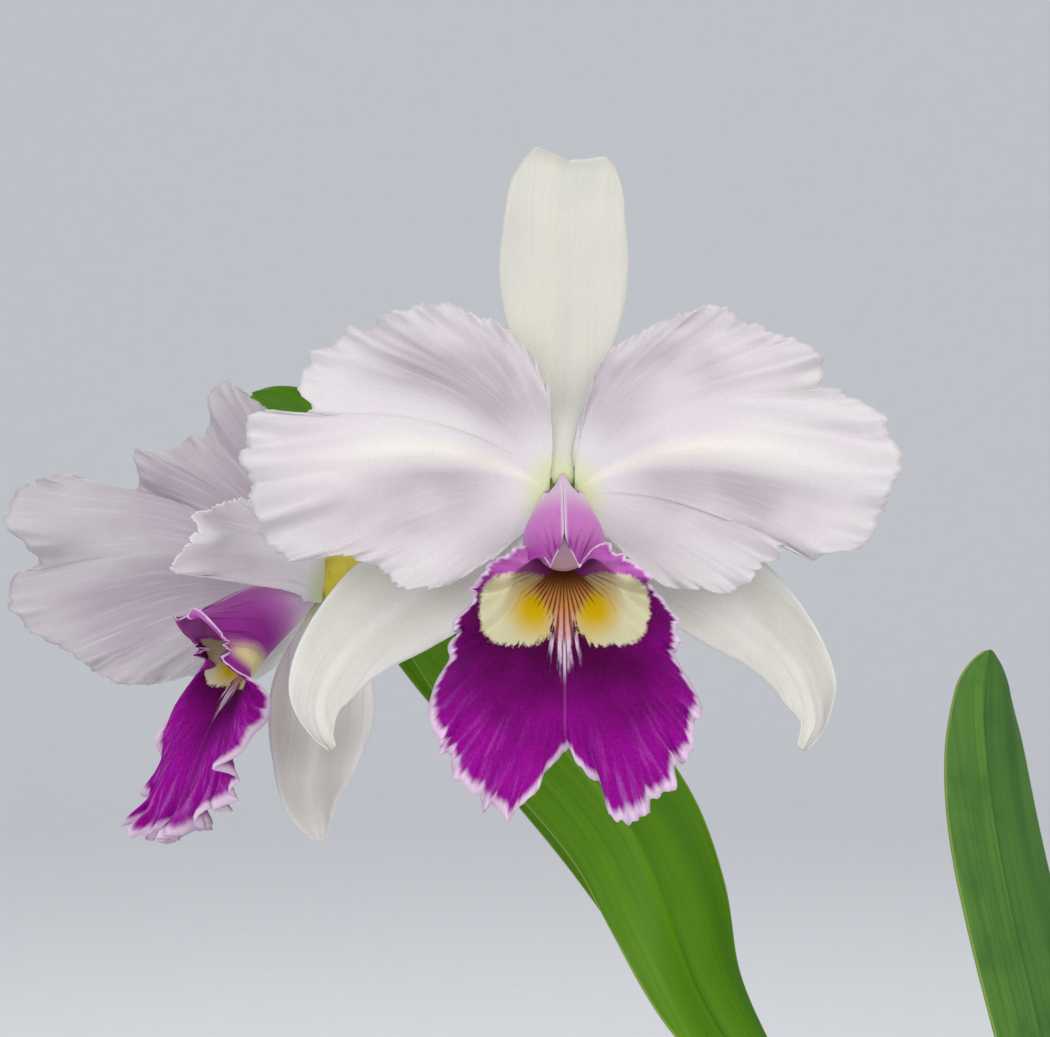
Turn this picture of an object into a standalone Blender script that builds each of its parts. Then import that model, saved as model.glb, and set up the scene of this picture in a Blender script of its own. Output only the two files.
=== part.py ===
"""A potted cattleya orchid in flower: two blooms, five leafy pseudobulbs, bark and a clay pot."""

import math
import random
from bisect import bisect_right

import bmesh
import bpy
from mathutils import Matrix, Vector

# Every length below is in millimetres, every angle in degrees. Meshes are made in metres.
MM = 0.001
SEAT_GAP = 0.3
FACET_SAG = 0.1
PETAL_THICKNESS = 0.6
LEAF_THICKNESS = 1.8

# The pot stands on z = 0 with its axis on the origin.
POT_HEIGHT = 105.0
POT_BASE_RADIUS = 44.0
POT_RIM_RADIUS = 66.0
POT_RIM_BAND = 20.0
POT_RIM_STEP = 3.0
POT_WALL = 6.0
POT_FLOOR = 9.0
POT_SIDES = 40
DRAIN_RADIUS = 5.0
DRAIN_CIRCLE = 24.0
DRAIN_COUNT = 4

BARK_TOP = 93.0
BARK_RELIEF = 6.0
BARK_REACH = 54.0
BARK_CHUNKS = 60
BARK_SEED = 11
BARK_TOP_RINGS = 7

RHIZOME_Z = 97.0
RHIZOME_RADIUS = 5.0
ROOT_RADIUS = 1.9
ROOT_TAPER = 0.4
ROOT_OVER_RIM = 2.4
BULB_BASE_Z = RHIZOME_Z + RHIZOME_RADIUS + SEAT_GAP

# Each growth: where its pseudobulb stands, where it ends, and its greatest radius.
GROWTHS = {
    1: {"base": (-15, 16), "apex": (-41.3, 20, 259), "radius": 12.5, "girth_at": 0.62},
    2: {"base": (6, -5), "apex": (-20.9, -10, 244), "radius": 12.0, "girth_at": 0.60},
    3: {"base": (33, -20), "apex": (55.1, -20, 184), "radius": 11.5, "girth_at": 0.55},
    4: {"base": (44, 17), "apex": (64, 26, 190), "radius": 12.5, "girth_at": 0.58},
    5: {"base": (18, 42), "apex": (30, 62, 170), "radius": 12.0, "girth_at": 0.56},
}
BULB_FOOT_RADIUS = 4.6
BULB_TOP_RADIUS = 8.0
SHOOT_BASE = (-42, 10)
SHOOT_TIP = (-54, 4, 158)

NO_TURN = [(0, 0), (1, 0)]

# Each leaf: the points along its groove from the pseudobulb's top to its tip, its half widths
# along the way, and how far its face is turned from the front about the groove.
LEAVES = {
    1: {
        "groove": [(-40.5, 26.5, 260.55), (-54, 33, 293), (-73.4, 42, 330.3), (-95.8, 52, 361.8),
                   (-120, 62, 391.1), (-141.8, 69, 422.6), (-159.9, 74, 444.3), (-179, 77, 458.6)],
        "widths": [(0, 4.5), (0.15, 10), (0.35, 16), (0.55, 19), (0.78, 18), (0.92, 12.5), (1, 1.5)],
        "turn": NO_TURN,
    },
    2: {
        "groove": [(-20.9, -10, 245.7), (-37.6, -12, 271.3), (-53.7, -13, 297.5), (-63.5, -14, 323.6),
                   (-71.9, -14, 342), (-89.5, -14, 364.3), (-111.8, -13, 387.1), (-134.7, -12, 410)],
        "widths": [(0, 5), (0.15, 10), (0.31, 15.7), (0.47, 17.7), (0.6, 19), (0.78, 18.5),
                   (0.92, 13), (1, 1.5)],
        "turn": [(0, 44), (0.31, 38), (0.5, 2), (0.7, -8), (1, -10)],
    },
    3: {
        "groove": [(55.1, -20, 185.2), (44.7, -20, 237.5), (34.5, -20, 287.8), (27.2, -20, 318.8),
                   (23.3, -20, 338.7), (20.7, -20, 358.2), (19.7, -20, 375.7), (20.7, -20, 388.2)],
        "widths": [(0, 5), (0.15, 9), (0.35, 14), (0.5, 16), (0.76, 16), (0.88, 13.5), (0.95, 9.5),
                   (1, 1.5)],
        "turn": [(0, 40), (1, 34)],
    },
    4: {
        "groove": [(64, 26, 191.2), (70, 30, 225), (80, 36, 270), (93, 42, 315), (108, 46, 352)],
        "widths": [(0, 5), (0.2, 11), (0.45, 17), (0.7, 17), (0.88, 12), (1, 1.5)],
        "turn": [(0, -20), (1, -35)],
    },
    5: {
        "groove": [(30, 62, 172.6), (40, 72, 203), (58, 84, 240), (82, 95, 270), (110, 103, 290)],
        "widths": [(0, 5), (0.2, 10), (0.45, 15), (0.7, 15.5), (0.88, 11), (1, 1.5)],
        "turn": [(0, 160), (1, 175)],
    },
}
LEAF_FOLD = 18.0

# The flower stem rises out of its sheath and forks behind the blooms.
STEM_RADIUS = 2.6
FORK = (-79.6, 18, 389.9)
STEM_PATH = [(-42.5, 17.5, 260), (-49.5, 16, 288), (-61, 15, 330), (-71.5, 16, 365), FORK]
OVARY_RADIUS = 4.3
SHEATH_LENGTH = 88.0

# Both blooms share these: z is up and -y is the way the bloom looks, from its own centre.
OVARY_FRONT = 3.0
PETAL_SEAT = 1.5
CLAW_HALF = 3.4
COLUMN_LENGTH = 28.0
COLUMN_NECK = 1.7
COLUMN_TIP = 4.8

# A petal's rays bow upwards from its claw; its face is a shallow bowl whose lower half droops.
PETAL_BOW = 34.0
PETAL_BOWL = 8.0
PETAL_DROOP = 7.5
PETAL_BACKROLL = 3.0
MIDRIB_SPREAD = 40.0
FULL_PETAL = 80.0

# The lip's tube, from its foot past its throat to its mouth, and the folds in its lobe. Its seam
# is this many degrees round from straight down, and its mouth is cut back below by the undercut.
LIP_SEAT = 0.3
LIP_THICKNESS = 0.6
LIP_UNDERCUT = 9.0
LIP_SEAM = 177.0
LIP_FOOT_RADIUS = 4.4
LIP_TUBE_RADIUS = 8.6
LIP_THROAT_RADIUS = 9.6
LIP_MOUTH_RADIUS = 5.6
LIP_BELLY = 5.0
LIP_FLARE = 0.12
LIP_FRILL = 2.6
LIP_FRILLS = 13

# The lip's reach from the middle of its mouth, by the angle from straight down.
LIP_REACH = [(0, 40), (5, 46), (11, 56.5), (16, 57), (22, 55), (30, 52.5), (40, 48), (50, 41),
             (60, 33), (75, 25), (92, 22), (105, 19), (120, 16.5), (140, 13.5), (155, 11), (177, 10)]

# A petal's margin is given as (angle above the outward line, reach from the claw), bottom to top.
PETAL_A_LEFT = [(-51, 21), (-43, 33.5), (-38, 39), (-31, 43), (-22, 47.7), (-18.2, 52.8),
                (-16.6, 57), (-16.2, 61.5), (-14.6, 66.4), (-10.7, 69.9), (-6.5, 71.1),
                (-2.5, 73.4), (2.8, 74.4), (9.5, 76.3), (14, 75), (16, 70.5), (16.6, 66), (19, 63),
                (22.4, 65.8), (29, 66.5), (41, 61.1), (58, 53.5), (74, 41.5), (81, 34.5),
                (90, 24.5)]
PETAL_A_RIGHT = [(-52, 16.7), (-50, 25.8), (-45.6, 33.6), (-38.5, 39.8), (-33, 46.1), (-25, 48.1),
                 (-21, 51.8), (-14.5, 58.5), (-16.5, 64.6), (-10.5, 71.4), (-5.4, 74.8), (3, 79),
                 (5.4, 80.2), (11, 77.8), (16, 74.6), (21, 70), (24.5, 67.5), (28, 68.5),
                 (34, 66.3), (40, 61.5), (46, 58.4), (54, 55.5), (60, 48.8), (65, 44.4),
                 (72.5, 37.5), (78.5, 30.7), (82, 22.1), (85, 11)]
PETAL_B_LEFT = [(-52, 18), (-39.5, 35.6), (-29.9, 51.3), (-21.8, 59.7), (-17, 62.5), (-10.9, 71.6),
                (-1.9, 80.2), (2.5, 81), (4.8, 75.6), (8, 76), (13.2, 82.6), (21, 79.7),
                (25.3, 72.6), (27.4, 64), (29.4, 56), (33.5, 53), (41.5, 56.5), (46, 50.5),
                (54.4, 50.5), (61, 50.8), (70, 58), (77, 54), (84, 38), (92, 20)]
PETAL_B_RIGHT = [(-30, 8), (-10, 15), (-7.5, 28), (-6, 42), (-5, 52), (-1, 55), (7, 50), (20, 42),
                 (36, 32), (55, 26), (74, 18)]

BLOOM_A = {
    "name": "bloom_a",
    "centre": (-90.7, -70, 430),
    "yaw": 0,
    "tube_dip": 36,
    "lip_lean": 32,
    "tube_length": 42,
    "lip_breadth": 1.0,
    "lip_hood": 1.0,
    "lip_drop": 1.0,
    "pedicel": [(-90.7, -42, 427), (-87, -20, 416), (-82.5, 0, 402)],
    "petal_left": {"margin": PETAL_A_LEFT, "claw": 3.2, "sweep": 0, "lift": 0, "midrib": 4,
                   "waves": 7.5, "phase": 0.4, "ruffle": 4.0},
    "petal_right": {"margin": PETAL_A_RIGHT, "claw": 2.9, "sweep": 0, "lift": 0, "midrib": 4,
                    "waves": 7.0, "phase": 2.0, "ruffle": 4.0},
    "dorsal_sepal": {
        "spine": [(0, 2.4, 1.5), (0, 2.9, 10), (0.1, 6, 28), (0.3, 8.5, 52), (0.8, 8, 72),
                  (1.6, 9.6, 80.5), (2, 14, 82.6), (2.2, 19, 79.5), (2.2, 22, 75)],
        "widths": [(0, 2.4), (0.12, 5), (0.3, 10.5), (0.42, 14.3), (0.56, 16), (0.7, 14.9),
                   (0.77, 14), (0.815, 12), (0.86, 9.2), (0.93, 5.5), (1, 1.0)],
        "trough": 2.0,
    },
    "lateral_sepal_left": {
        "spine": [(-2.5, 2.4, -2.3), (-10.5, 5, -9.1), (-25, 10, -19.8), (-42.9, 12.5, -29.1),
                  (-55.8, 11, -41), (-61.1, 8, -52.5), (-59.4, 4.5, -61.2), (-57.1, 3, -64.3)],
        "widths": [(0, 2.4), (0.25, 10.5), (0.5, 13.8), (0.68, 11), (0.84, 7.6), (0.93, 3.8),
                   (1, 1.2)],
        "trough": 2.4,
    },
    "lateral_sepal_right": {
        "spine": [(2.5, 2.4, -2.3), (9.2, 5, -7.9), (23, 10, -16.3), (43, 12.5, -28.1),
                  (52.2, 11.5, -35.8), (58.8, 10, -44.1), (61.8, 7.5, -51.7), (62.4, 5.5, -57.8),
                  (59.5, 4, -64.1)],
        "widths": [(0, 2.4), (0.25, 10), (0.5, 12.8), (0.63, 10.8), (0.75, 8.6), (0.85, 6.8),
                   (0.92, 3.6), (1, 1.4)],
        "trough": 2.4,
    },
}
BLOOM_B = {
    "name": "bloom_b",
    "centre": (-158.4, -5, 404),
    "yaw": -46,
    "tube_dip": 23,
    "lip_lean": 22,
    "tube_length": 36,
    "lip_breadth": 0.64,
    "lip_hood": 1.8,
    "lip_drop": 0.95,
    "pedicel": [(-142, 11, 409), (-128, 17, 418), (-108, 21, 416), (-90, 21, 403)],
    "petal_left": {"margin": PETAL_B_LEFT, "claw": 4.6, "sweep": 34, "lift": 0, "midrib": 4,
                   "waves": 8.0, "phase": 1.0, "ruffle": 4.0},
    "petal_right": {"margin": PETAL_B_RIGHT, "claw": 5.4, "sweep": 75, "lift": 12, "midrib": 4,
                    "waves": 5.0, "phase": 0.0, "ruffle": 3.0},
    "dorsal_sepal": {
        "spine": [(0, 2.4, 1.5), (-0.4, 2.4, 7.5), (-1.8, 4, 12), (-6.5, 10, 21), (-13.5, 21, 34),
                  (-19, 32, 48), (-22.5, 41.5, 58)],
        "widths": [(0, 2.4), (0.15, 5), (0.35, 11), (0.55, 13.5), (0.75, 12.5), (0.9, 8), (1, 1.0)],
        "trough": 2.0,
    },
    "lateral_sepal_left": {
        "spine": [(-2.5, 2.4, -2.5), (-9.5, 4.8, -5.5), (-19.6, 9.5, -9), (-35.5, 12, -15),
                  (-50.1, 11, -19.5), (-62, 8, -22)],
        "widths": [(0, 2.4), (0.27, 8), (0.5, 10.5), (0.72, 10), (0.9, 6), (1, 1.2)],
        "trough": 2.2,
    },
    "lateral_sepal_right": {
        "spine": [(2.2, 2.4, -3), (3, 3.8, -12), (4.9, 2.2, -28.9), (7.3, -2.4, -43.4),
                  (9.2, -5.5, -54.7), (14, -6, -65.3)],
        "widths": [(0, 2.4), (0.18, 10.5), (0.43, 14.2), (0.66, 11.5), (0.84, 7.2), (0.94, 4),
                   (1, 1.5)],
        "turn": [(0, 0), (0.15, -20), (0.4, -42), (1, -42)],
        "trough": 2.2,
    },
}

# How many cells the sheets are cut into, across and along.
PETAL_CELLS = (28, 6)
SEPAL_CELLS = (4, 12)
LIP_CELLS = (36, 8)
LEAF_CELLS = (4, 12)
BRACT_CELLS = (10, 3)

COLOURS = {
    "petal": (0.83, 0.78, 0.83, 1.0),
    "lip": (0.32, 0.01, 0.36, 1.0),
    "column": (0.72, 0.42, 0.62, 1.0),
    "leaf": (0.13, 0.30, 0.03, 1.0),
    "stem": (0.24, 0.34, 0.08, 1.0),
    "bulb": (0.18, 0.27, 0.06, 1.0),
    "husk": (0.50, 0.40, 0.25, 1.0),
    "root": (0.45, 0.43, 0.33, 1.0),
    "bark": (0.16, 0.075, 0.035, 1.0),
    "clay": (0.48, 0.19, 0.10, 1.0),
}
ROUGHNESS = {"leaf": 0.35, "bulb": 0.4, "stem": 0.4, "column": 0.4, "lip": 0.6, "petal": 0.55}


class SmoothCurve:
    """A smooth curve through knots, each a parameter with a number or a vector."""

    def __init__(self, knots):
        self.where = [knot[0] for knot in knots]
        self.value = [knot[1] for knot in knots]
        steps = list(zip(self.where, self.where[1:], self.value, self.value[1:]))
        rises = [(v1 - v0) / (x1 - x0) for x0, x1, v0, v1 in steps]
        inner = [(a + b) / 2 for a, b in zip(rises, rises[1:])]
        self.slope = [rises[0]] + inner + [rises[-1]]

    def at(self, x):
        """Value at x, by a cubic between the two knots on each side of it."""
        i = min(max(bisect_right(self.where, x) - 1, 0), len(self.where) - 2)
        span = self.where[i + 1] - self.where[i]
        f = min(max((x - self.where[i]) / span, 0.0), 1.0)
        start = self.value[i] * (2 * f**3 - 3 * f**2 + 1) + self.slope[i] * (span * (f**3 - 2 * f**2 + f))
        end = self.value[i + 1] * (3 * f**2 - 2 * f**3) + self.slope[i + 1] * (span * (f**3 - f**2))
        return start + end


def curve_through(points, first=0.0, last=1.0):
    """Smooth curve through 3-D points, its parameter in step with the length between them."""
    vectors = [Vector(point) for point in points]
    reach = [0.0]
    for a, b in zip(vectors, vectors[1:]):
        reach.append(reach[-1] + (b - a).length)
    return SmoothCurve([(first + (last - first) * r / reach[-1], v) for r, v in zip(reach, vectors)])


def smoothstep(low, high, x):
    """0 below low, 1 above high, and an easy rise between."""
    f = min(max((x - low) / (high - low), 0.0), 1.0)
    return f * f * (3 - 2 * f)


def crowd(w):
    """Place along a blade, with its rows drawn together towards the rounded tip."""
    return 1 - (1 - w) ** 1.5


def fresh_collection(name):
    """A new collection in the scene."""
    collection = bpy.data.collections.new(name)
    bpy.context.scene.collection.children.link(collection)
    return collection


def plant_material(kind):
    """The Principled material for one kind of tissue or finish, made once."""
    material = bpy.data.materials.get(kind)
    if material is None:
        material = bpy.data.materials.new(kind)
        material.use_nodes = True
        shader = material.node_tree.nodes["Principled BSDF"]
        shader.inputs["Base Color"].default_value = COLOURS[kind]
        shader.inputs["Roughness"].default_value = ROUGHNESS.get(kind, 0.8)
        shader.inputs["Metallic"].default_value = 0.0
    return material


def add_part(name, bm, kind, origin=(0, 0, 0), parent=None):
    """Make an object of a bmesh drawn in millimetres, with its own origin and parent."""
    bmesh.ops.translate(bm, verts=bm.verts, vec=-Vector(origin))
    bmesh.ops.scale(bm, verts=bm.verts, vec=(MM, MM, MM))
    mesh = bpy.data.meshes.new(name)
    bm.to_mesh(mesh)
    bm.free()
    mesh.shade_smooth()
    mesh.materials.append(plant_material(kind))
    obj = bpy.data.objects.new(name, mesh)
    obj.location = Vector(origin) * MM
    obj.parent = parent
    parts.objects.link(obj)
    return obj


def add_sheet(name, cells, place, thickness, kind, origin=(0, 0, 0), parent=None):
    """A thin sheet: a grid with each point put at place(across -1..1, along 0..1)."""
    bm = bmesh.new()
    bmesh.ops.create_grid(bm, x_segments=cells[0], y_segments=cells[1], size=1.0)
    for vert in bm.verts:
        vert.co = place(vert.co.x, (vert.co.y + 1) / 2)
    bmesh.ops.triangulate(bm, faces=bm.faces)
    obj = add_part(name, bm, kind, origin, parent)
    wall = obj.modifiers.new("wall", "SOLIDIFY")
    wall.thickness = thickness * MM
    wall.offset = 0
    wall.use_quality_normals = True
    return obj


class Strip:
    """A strap-shaped blade: a spine, half widths along it, and a face carried along the spine."""

    def __init__(self, spine, widths, face, turn, samples=48):
        self.spine = curve_through(spine)
        self.width = SmoothCurve(widths)
        self.turn = SmoothCurve(turn)
        self.samples = samples
        self.faces = []
        carried = Vector(face)
        for i in range(samples + 1):
            tangent = self.tangent(i / samples)
            carried = (carried - tangent * carried.dot(tangent)).normalized()
            self.faces.append(carried.copy())

    def tangent(self, w):
        """Direction of the spine at w."""
        step = 0.5 / self.samples
        return (self.spine.at(min(w + step, 1)) - self.spine.at(max(w - step, 0))).normalized()

    def frame(self, w):
        """Across and face directions at w, turned about the spine."""
        i = min(int(w * self.samples), self.samples - 1)
        tangent = self.tangent(w)
        face = self.faces[i].lerp(self.faces[i + 1], w * self.samples - i)
        face = (face - tangent * face.dot(tangent)).normalized()
        face = Matrix.Rotation(math.radians(self.turn.at(w)), 3, tangent) @ face
        return tangent.cross(face), face

    def point(self, u, w, lift):
        """Point at u across and w along, with lift towards the face."""
        across, face = self.frame(w)
        return self.spine.at(w) + across * (u * self.width.at(w)) + face * lift


def leaf_point(strip, u, w):
    """A leaf folds along its groove, most at its foot and least at its tip."""
    fold = math.radians(LEAF_FOLD + 22 * (1 - smoothstep(0.0, 0.3, w)) - 8 * w)
    half = strip.width.at(w) * abs(u)
    across, face = strip.frame(w)
    side = math.copysign(1.0, u)
    rounding = 0.25 * half * abs(u)
    return strip.spine.at(w) + across * (side * half * math.cos(fold)) + face * (
        half * math.sin(fold) - rounding)


def sepal_point(strip, trough, u, w):
    """A sepal is a shallow trough that opens to the front and flattens at its foot."""
    lift = trough * u * u * smoothstep(0.05, 0.35, w)
    return strip.point(u, w, lift)


class Petal:
    """A broad petal: rays fan out from a narrow claw to a waved margin."""

    def __init__(self, side, shape):
        self.side = side
        self.shape = shape
        ring = []
        for angle, reach in shape["margin"]:
            a = math.radians(angle)
            ring.append((reach * math.cos(a), 0, reach * math.sin(a)))
        self.margin = curve_through(ring, -1.0, 1.0)

    def point(self, t, s):
        """Point on the ray to margin place t, s of the way out."""
        shape = self.shape
        rim = self.margin.at(t)
        reach = rim.length
        angle = math.degrees(math.atan2(rim.z, rim.x))
        bow = (PETAL_BOW * (1 - t * t) + 8 * t) * (1 - s) ** 1.5
        heading = math.radians(angle + bow)
        far = reach * s
        outward = far * math.cos(heading)
        upward = far * math.sin(heading) + CLAW_HALF * t * (1 - s)
        off_rib = (angle - shape["midrib"]) / MIDRIB_SPREAD
        ridge = 1 - math.exp(-off_rib * off_rib)
        fall = PETAL_DROOP if off_rib < 0 else PETAL_BACKROLL
        droop = fall * ridge * math.sin(math.pi * 0.8 * s)
        bowl = -PETAL_BOWL * math.sin(math.pi * 0.85 * min(far / FULL_PETAL, 1)) * smoothstep(5, 26, far)
        wave = shape["ruffle"] * s**2.4 * math.sin(math.pi * shape["waves"] * (t + 1) + shape["phase"])
        back = PETAL_SEAT + bowl + droop * smoothstep(4, 24, far) + wave * smoothstep(10, 40, far)
        lift = math.radians(shape["lift"])
        risen = Vector((outward * math.cos(lift) - upward * math.sin(lift), back,
                        outward * math.sin(lift) + upward * math.cos(lift)))
        sweep = math.radians(shape["sweep"])
        depth = risen.y - PETAL_SEAT
        turned_x = risen.x * math.cos(sweep) + depth * math.sin(sweep)
        turned_y = depth * math.cos(sweep) - risen.x * math.sin(sweep)
        return Vector((self.side * (shape["claw"] + turned_x), PETAL_SEAT + turned_y, risen.z))


class Lip:
    """The lip: a tube rolled round the column, which opens into a broad waved lobe."""

    def __init__(self, bloom):
        self.dip = math.radians(bloom["tube_dip"])
        self.lean = math.tan(math.radians(bloom["lip_lean"]))
        self.breadth = bloom["lip_breadth"]
        self.hood = bloom["lip_hood"]
        self.drop = bloom["lip_drop"]
        self.length = bloom["tube_length"]
        self.reach = SmoothCurve(LIP_REACH)
        self.axis = Vector((0, -math.cos(self.dip), -math.sin(self.dip)))
        self.mouth = self.axis * self.length

    def point(self, u, s):
        """Point at angle u * LIP_SEAM from straight down, s of the way from foot to rim."""
        degrees_off = abs(u) * LIP_SEAM
        theta = math.radians(u * LIP_SEAM)
        flat = Vector((math.sin(theta), 0, -math.cos(theta)))
        round_tube = Vector((flat.x, math.sin(self.dip) * math.cos(theta),
                             -math.cos(self.dip) * math.cos(theta)))
        reach = self.reach.at(degrees_off)
        down = max(0.0, math.cos(theta))
        belly = LIP_BELLY * math.sin(math.pi * min(degrees_off / 62, 1))
        spread = Vector((flat.x * self.breadth, 0, flat.z * (self.hood if flat.z > 0 else self.drop)))
        hooded = Vector((0, 0, 4 * (self.hood - 1) * max(0.0, flat.z)))
        forward = reach * self.lean * down + belly
        flare_back = LIP_FLARE * reach * math.sin(theta) ** 2
        short = LIP_UNDERCUT * (1 + math.cos(theta)) / 2
        cage = [
            Vector((0, LIP_SEAT, -0.4)) + flat * LIP_FOOT_RADIUS,
            self.axis * (0.36 * self.length) + round_tube * LIP_TUBE_RADIUS,
            self.axis * (0.76 * self.length - 0.5 * short) + round_tube * LIP_THROAT_RADIUS,
            self.axis * (1.1 * self.length - short) + (round_tube + flat) * LIP_MOUTH_RADIUS + hooded,
            self.mouth + spread * (0.6 * reach) + Vector((0, short - 0.75 * forward, 0)),
            self.mouth + spread * reach + Vector((0, short + flare_back - forward + 0.5 * belly, 0)),
        ]
        while len(cage) > 1:
            cage = [a.lerp(b, s) for a, b in zip(cage, cage[1:])]
        frill = LIP_FRILL * s**5 * math.sin(math.radians(degrees_off) * LIP_FRILLS + 0.6)
        return cage[0] + Vector((0, frill * smoothstep(178, 150, degrees_off), 0))


def add_column(bloom, parent):
    """The column inside the lip's tube: it leaves the ovary by a neck and thickens to a hooded tip."""
    dip = math.radians(bloom["tube_dip"])
    axis = Vector((0, -math.cos(dip), -math.sin(dip)))
    top = Vector((0, -math.sin(dip), math.cos(dip)))
    neck_y = OVARY_FRONT - SEAT_GAP
    path = curve_through([(0, neck_y, -1), (0, neck_y - 2, -1), axis * 5, axis * COLUMN_LENGTH])
    girth = SmoothCurve([(0, COLUMN_NECK), (0.08, COLUMN_NECK), (0.22, 3.2), (0.9, COLUMN_TIP),
                         (1, COLUMN_TIP)])
    bm = bmesh.new()
    bmesh.ops.create_uvsphere(bm, u_segments=12, v_segments=12, radius=1.0)
    for vert in bm.verts:
        w = (vert.co.z + 1) / 2
        around = Vector((vert.co.x, vert.co.y, 0))
        radius = girth.at(w) * min(1.0, around.length * 1.7)
        around = around.normalized() if around.length > 1e-6 else around
        vert.co = path.at(w) + Vector((around.x * radius, 0, 0)) + top * (around.y * radius * 0.85)
    add_part(bloom["name"] + "_column", bm, "column", parent=parent)


def add_bloom(bloom):
    """One bloom: three sepals behind, two petals before them, then the lip and the column."""
    holder = bpy.data.objects.new(bloom["name"] + "_frame", None)
    holder.location = Vector(bloom["centre"]) * MM
    holder.rotation_euler = (0, 0, math.radians(bloom["yaw"]))
    parts.objects.link(holder)
    for part in ("dorsal_sepal", "lateral_sepal_left", "lateral_sepal_right"):
        shape = bloom[part]
        strip = Strip(shape["spine"], shape["widths"], (0, -1, 0), shape.get("turn", NO_TURN))
        add_sheet(f"{bloom['name']}_{part}", SEPAL_CELLS,
                  lambda u, w, strip=strip, deep=shape["trough"]: sepal_point(strip, deep, u, crowd(w)),
                  PETAL_THICKNESS, "petal", parent=holder)
    for part, side in (("petal_left", -1), ("petal_right", 1)):
        petal = Petal(side, bloom[part])
        add_sheet(f"{bloom['name']}_{part}", PETAL_CELLS, petal.point, PETAL_THICKNESS, "petal",
                  parent=holder)
    lip = Lip(bloom)
    add_sheet(bloom["name"] + "_lip", LIP_CELLS, lip.point, LIP_THICKNESS, "lip", parent=holder)
    add_column(bloom, holder)


def settle(obj, kind):
    """Turn an object with modifiers, or a curve, into one plain closed mesh in the world frame."""
    bpy.context.view_layer.update()
    evaluated = obj.evaluated_get(bpy.context.evaluated_depsgraph_get())
    mesh = bpy.data.meshes.new_from_object(evaluated)
    mesh.transform(obj.matrix_world)
    bm = bmesh.new()
    bm.from_mesh(mesh)
    bmesh.ops.remove_doubles(bm, verts=bm.verts, dist=1e-6)
    bmesh.ops.recalc_face_normals(bm, faces=bm.faces)
    bm.to_mesh(mesh)
    bm.free()
    mesh.materials.clear()
    mesh.materials.append(plant_material(kind))
    name = obj.name
    bpy.data.objects.remove(obj)
    settled = bpy.data.objects.new(name, mesh)
    cutters.objects.link(settled)
    return settled


def tube(name, points, radii, steps, kind, sides=2):
    """A closed tube along a smooth curve, with its radius given along the way."""
    path = curve_through(points)
    girth = SmoothCurve(radii)
    data = bpy.data.curves.new(name, "CURVE")
    data.dimensions = "3D"
    data.bevel_depth = MM
    data.bevel_resolution = sides
    data.use_fill_caps = True
    spline = data.splines.new("POLY")
    spline.points.add(steps)
    for i, point in enumerate(spline.points):
        point.co = (*(path.at(i / steps) * MM), 1.0)
        point.radius = girth.at(i / steps)
    obj = bpy.data.objects.new(name, data)
    cutters.objects.link(obj)
    return settle(obj, kind)


def fuse(name, pieces, kind):
    """Join closed meshes that run into each other, and remove the pieces used."""
    first = pieces[0]
    for piece in pieces[1:]:
        join = first.modifiers.new("join", "BOOLEAN")
        join.operation = "UNION"
        join.solver = "EXACT"
        join.object = piece
    joined = settle(first, kind)
    for piece in pieces[1:]:
        bpy.data.objects.remove(piece)
    joined.name = name
    return joined


def hand_over(obj):
    """Move a finished solid from the working collection to the parts."""
    cutters.objects.unlink(obj)
    parts.objects.link(obj)
    obj.data.shade_smooth()


def add_flower_stem():
    """The stem, its two stalks and their ovaries, which grew as one piece."""
    stem = tube("stem", STEM_PATH, [(0, STEM_RADIUS), (0.8, 2.4), (1, 3.0)], 14, "stem")
    stalks = []
    for bloom in (BLOOM_A, BLOOM_B):
        yaw = math.radians(bloom["yaw"])
        centre = Vector(bloom["centre"])
        back = Vector((-math.sin(yaw), math.cos(yaw), 0))
        route = [centre + back * OVARY_FRONT, centre + back * 9, centre + back * 15]
        route += [Vector(point) for point in bloom["pedicel"]] + [Vector(FORK)]
        radii = [(0, OVARY_RADIUS), (0.18, 4.0), (0.45, 2.5), (1, 2.4)]
        stalks.append(tube(bloom["name"] + "_stalk", route, radii, 14, "stem"))
    hand_over(fuse("flower_stem", [stem] + stalks, "stem"))


def bulb_point(growth, w, angle, extra):
    """Point on a pseudobulb, w of the way up, extra outside its skin; it is ribbed lengthwise."""
    base = Vector((*growth["base"], BULB_BASE_Z))
    apex = Vector(growth["apex"])
    girth = SmoothCurve([(0, BULB_FOOT_RADIUS), (0.12, 5.6), (growth["girth_at"], growth["radius"]),
                         (0.88, 9.5), (1, BULB_TOP_RADIUS)])
    rib = 0.5 - 0.5 * math.cos(7 * angle)
    radius = girth.at(w)
    radius -= 0.09 * radius * rib * math.sin(math.pi * w) if extra == 0 else -extra
    return base.lerp(apex, w) + Vector((radius * math.cos(angle), radius * math.sin(angle), 0))


def add_pseudobulb(number, growth):
    """A pseudobulb: a sphere drawn out into a ribbed club with flat ends."""
    rings = 10
    bm = bmesh.new()
    bmesh.ops.create_uvsphere(bm, u_segments=14, v_segments=rings, radius=1.0)
    for vert in bm.verts:
        polar = math.acos(max(-1.0, min(1.0, -vert.co.z)))
        w = min(max((polar - math.pi / rings) / (math.pi - 2 * math.pi / rings), 0), 1)
        at_pole = abs(vert.co.z) > 0.9999
        surface = bulb_point(growth, w, math.atan2(vert.co.y, vert.co.x), 0)
        axis = Vector((*growth["base"], BULB_BASE_Z)).lerp(Vector(growth["apex"]), w)
        vert.co = axis if at_pole else surface
    add_part(f"pseudobulb_{number}", bm, "bulb", (*growth["base"], BULB_BASE_Z))


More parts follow.
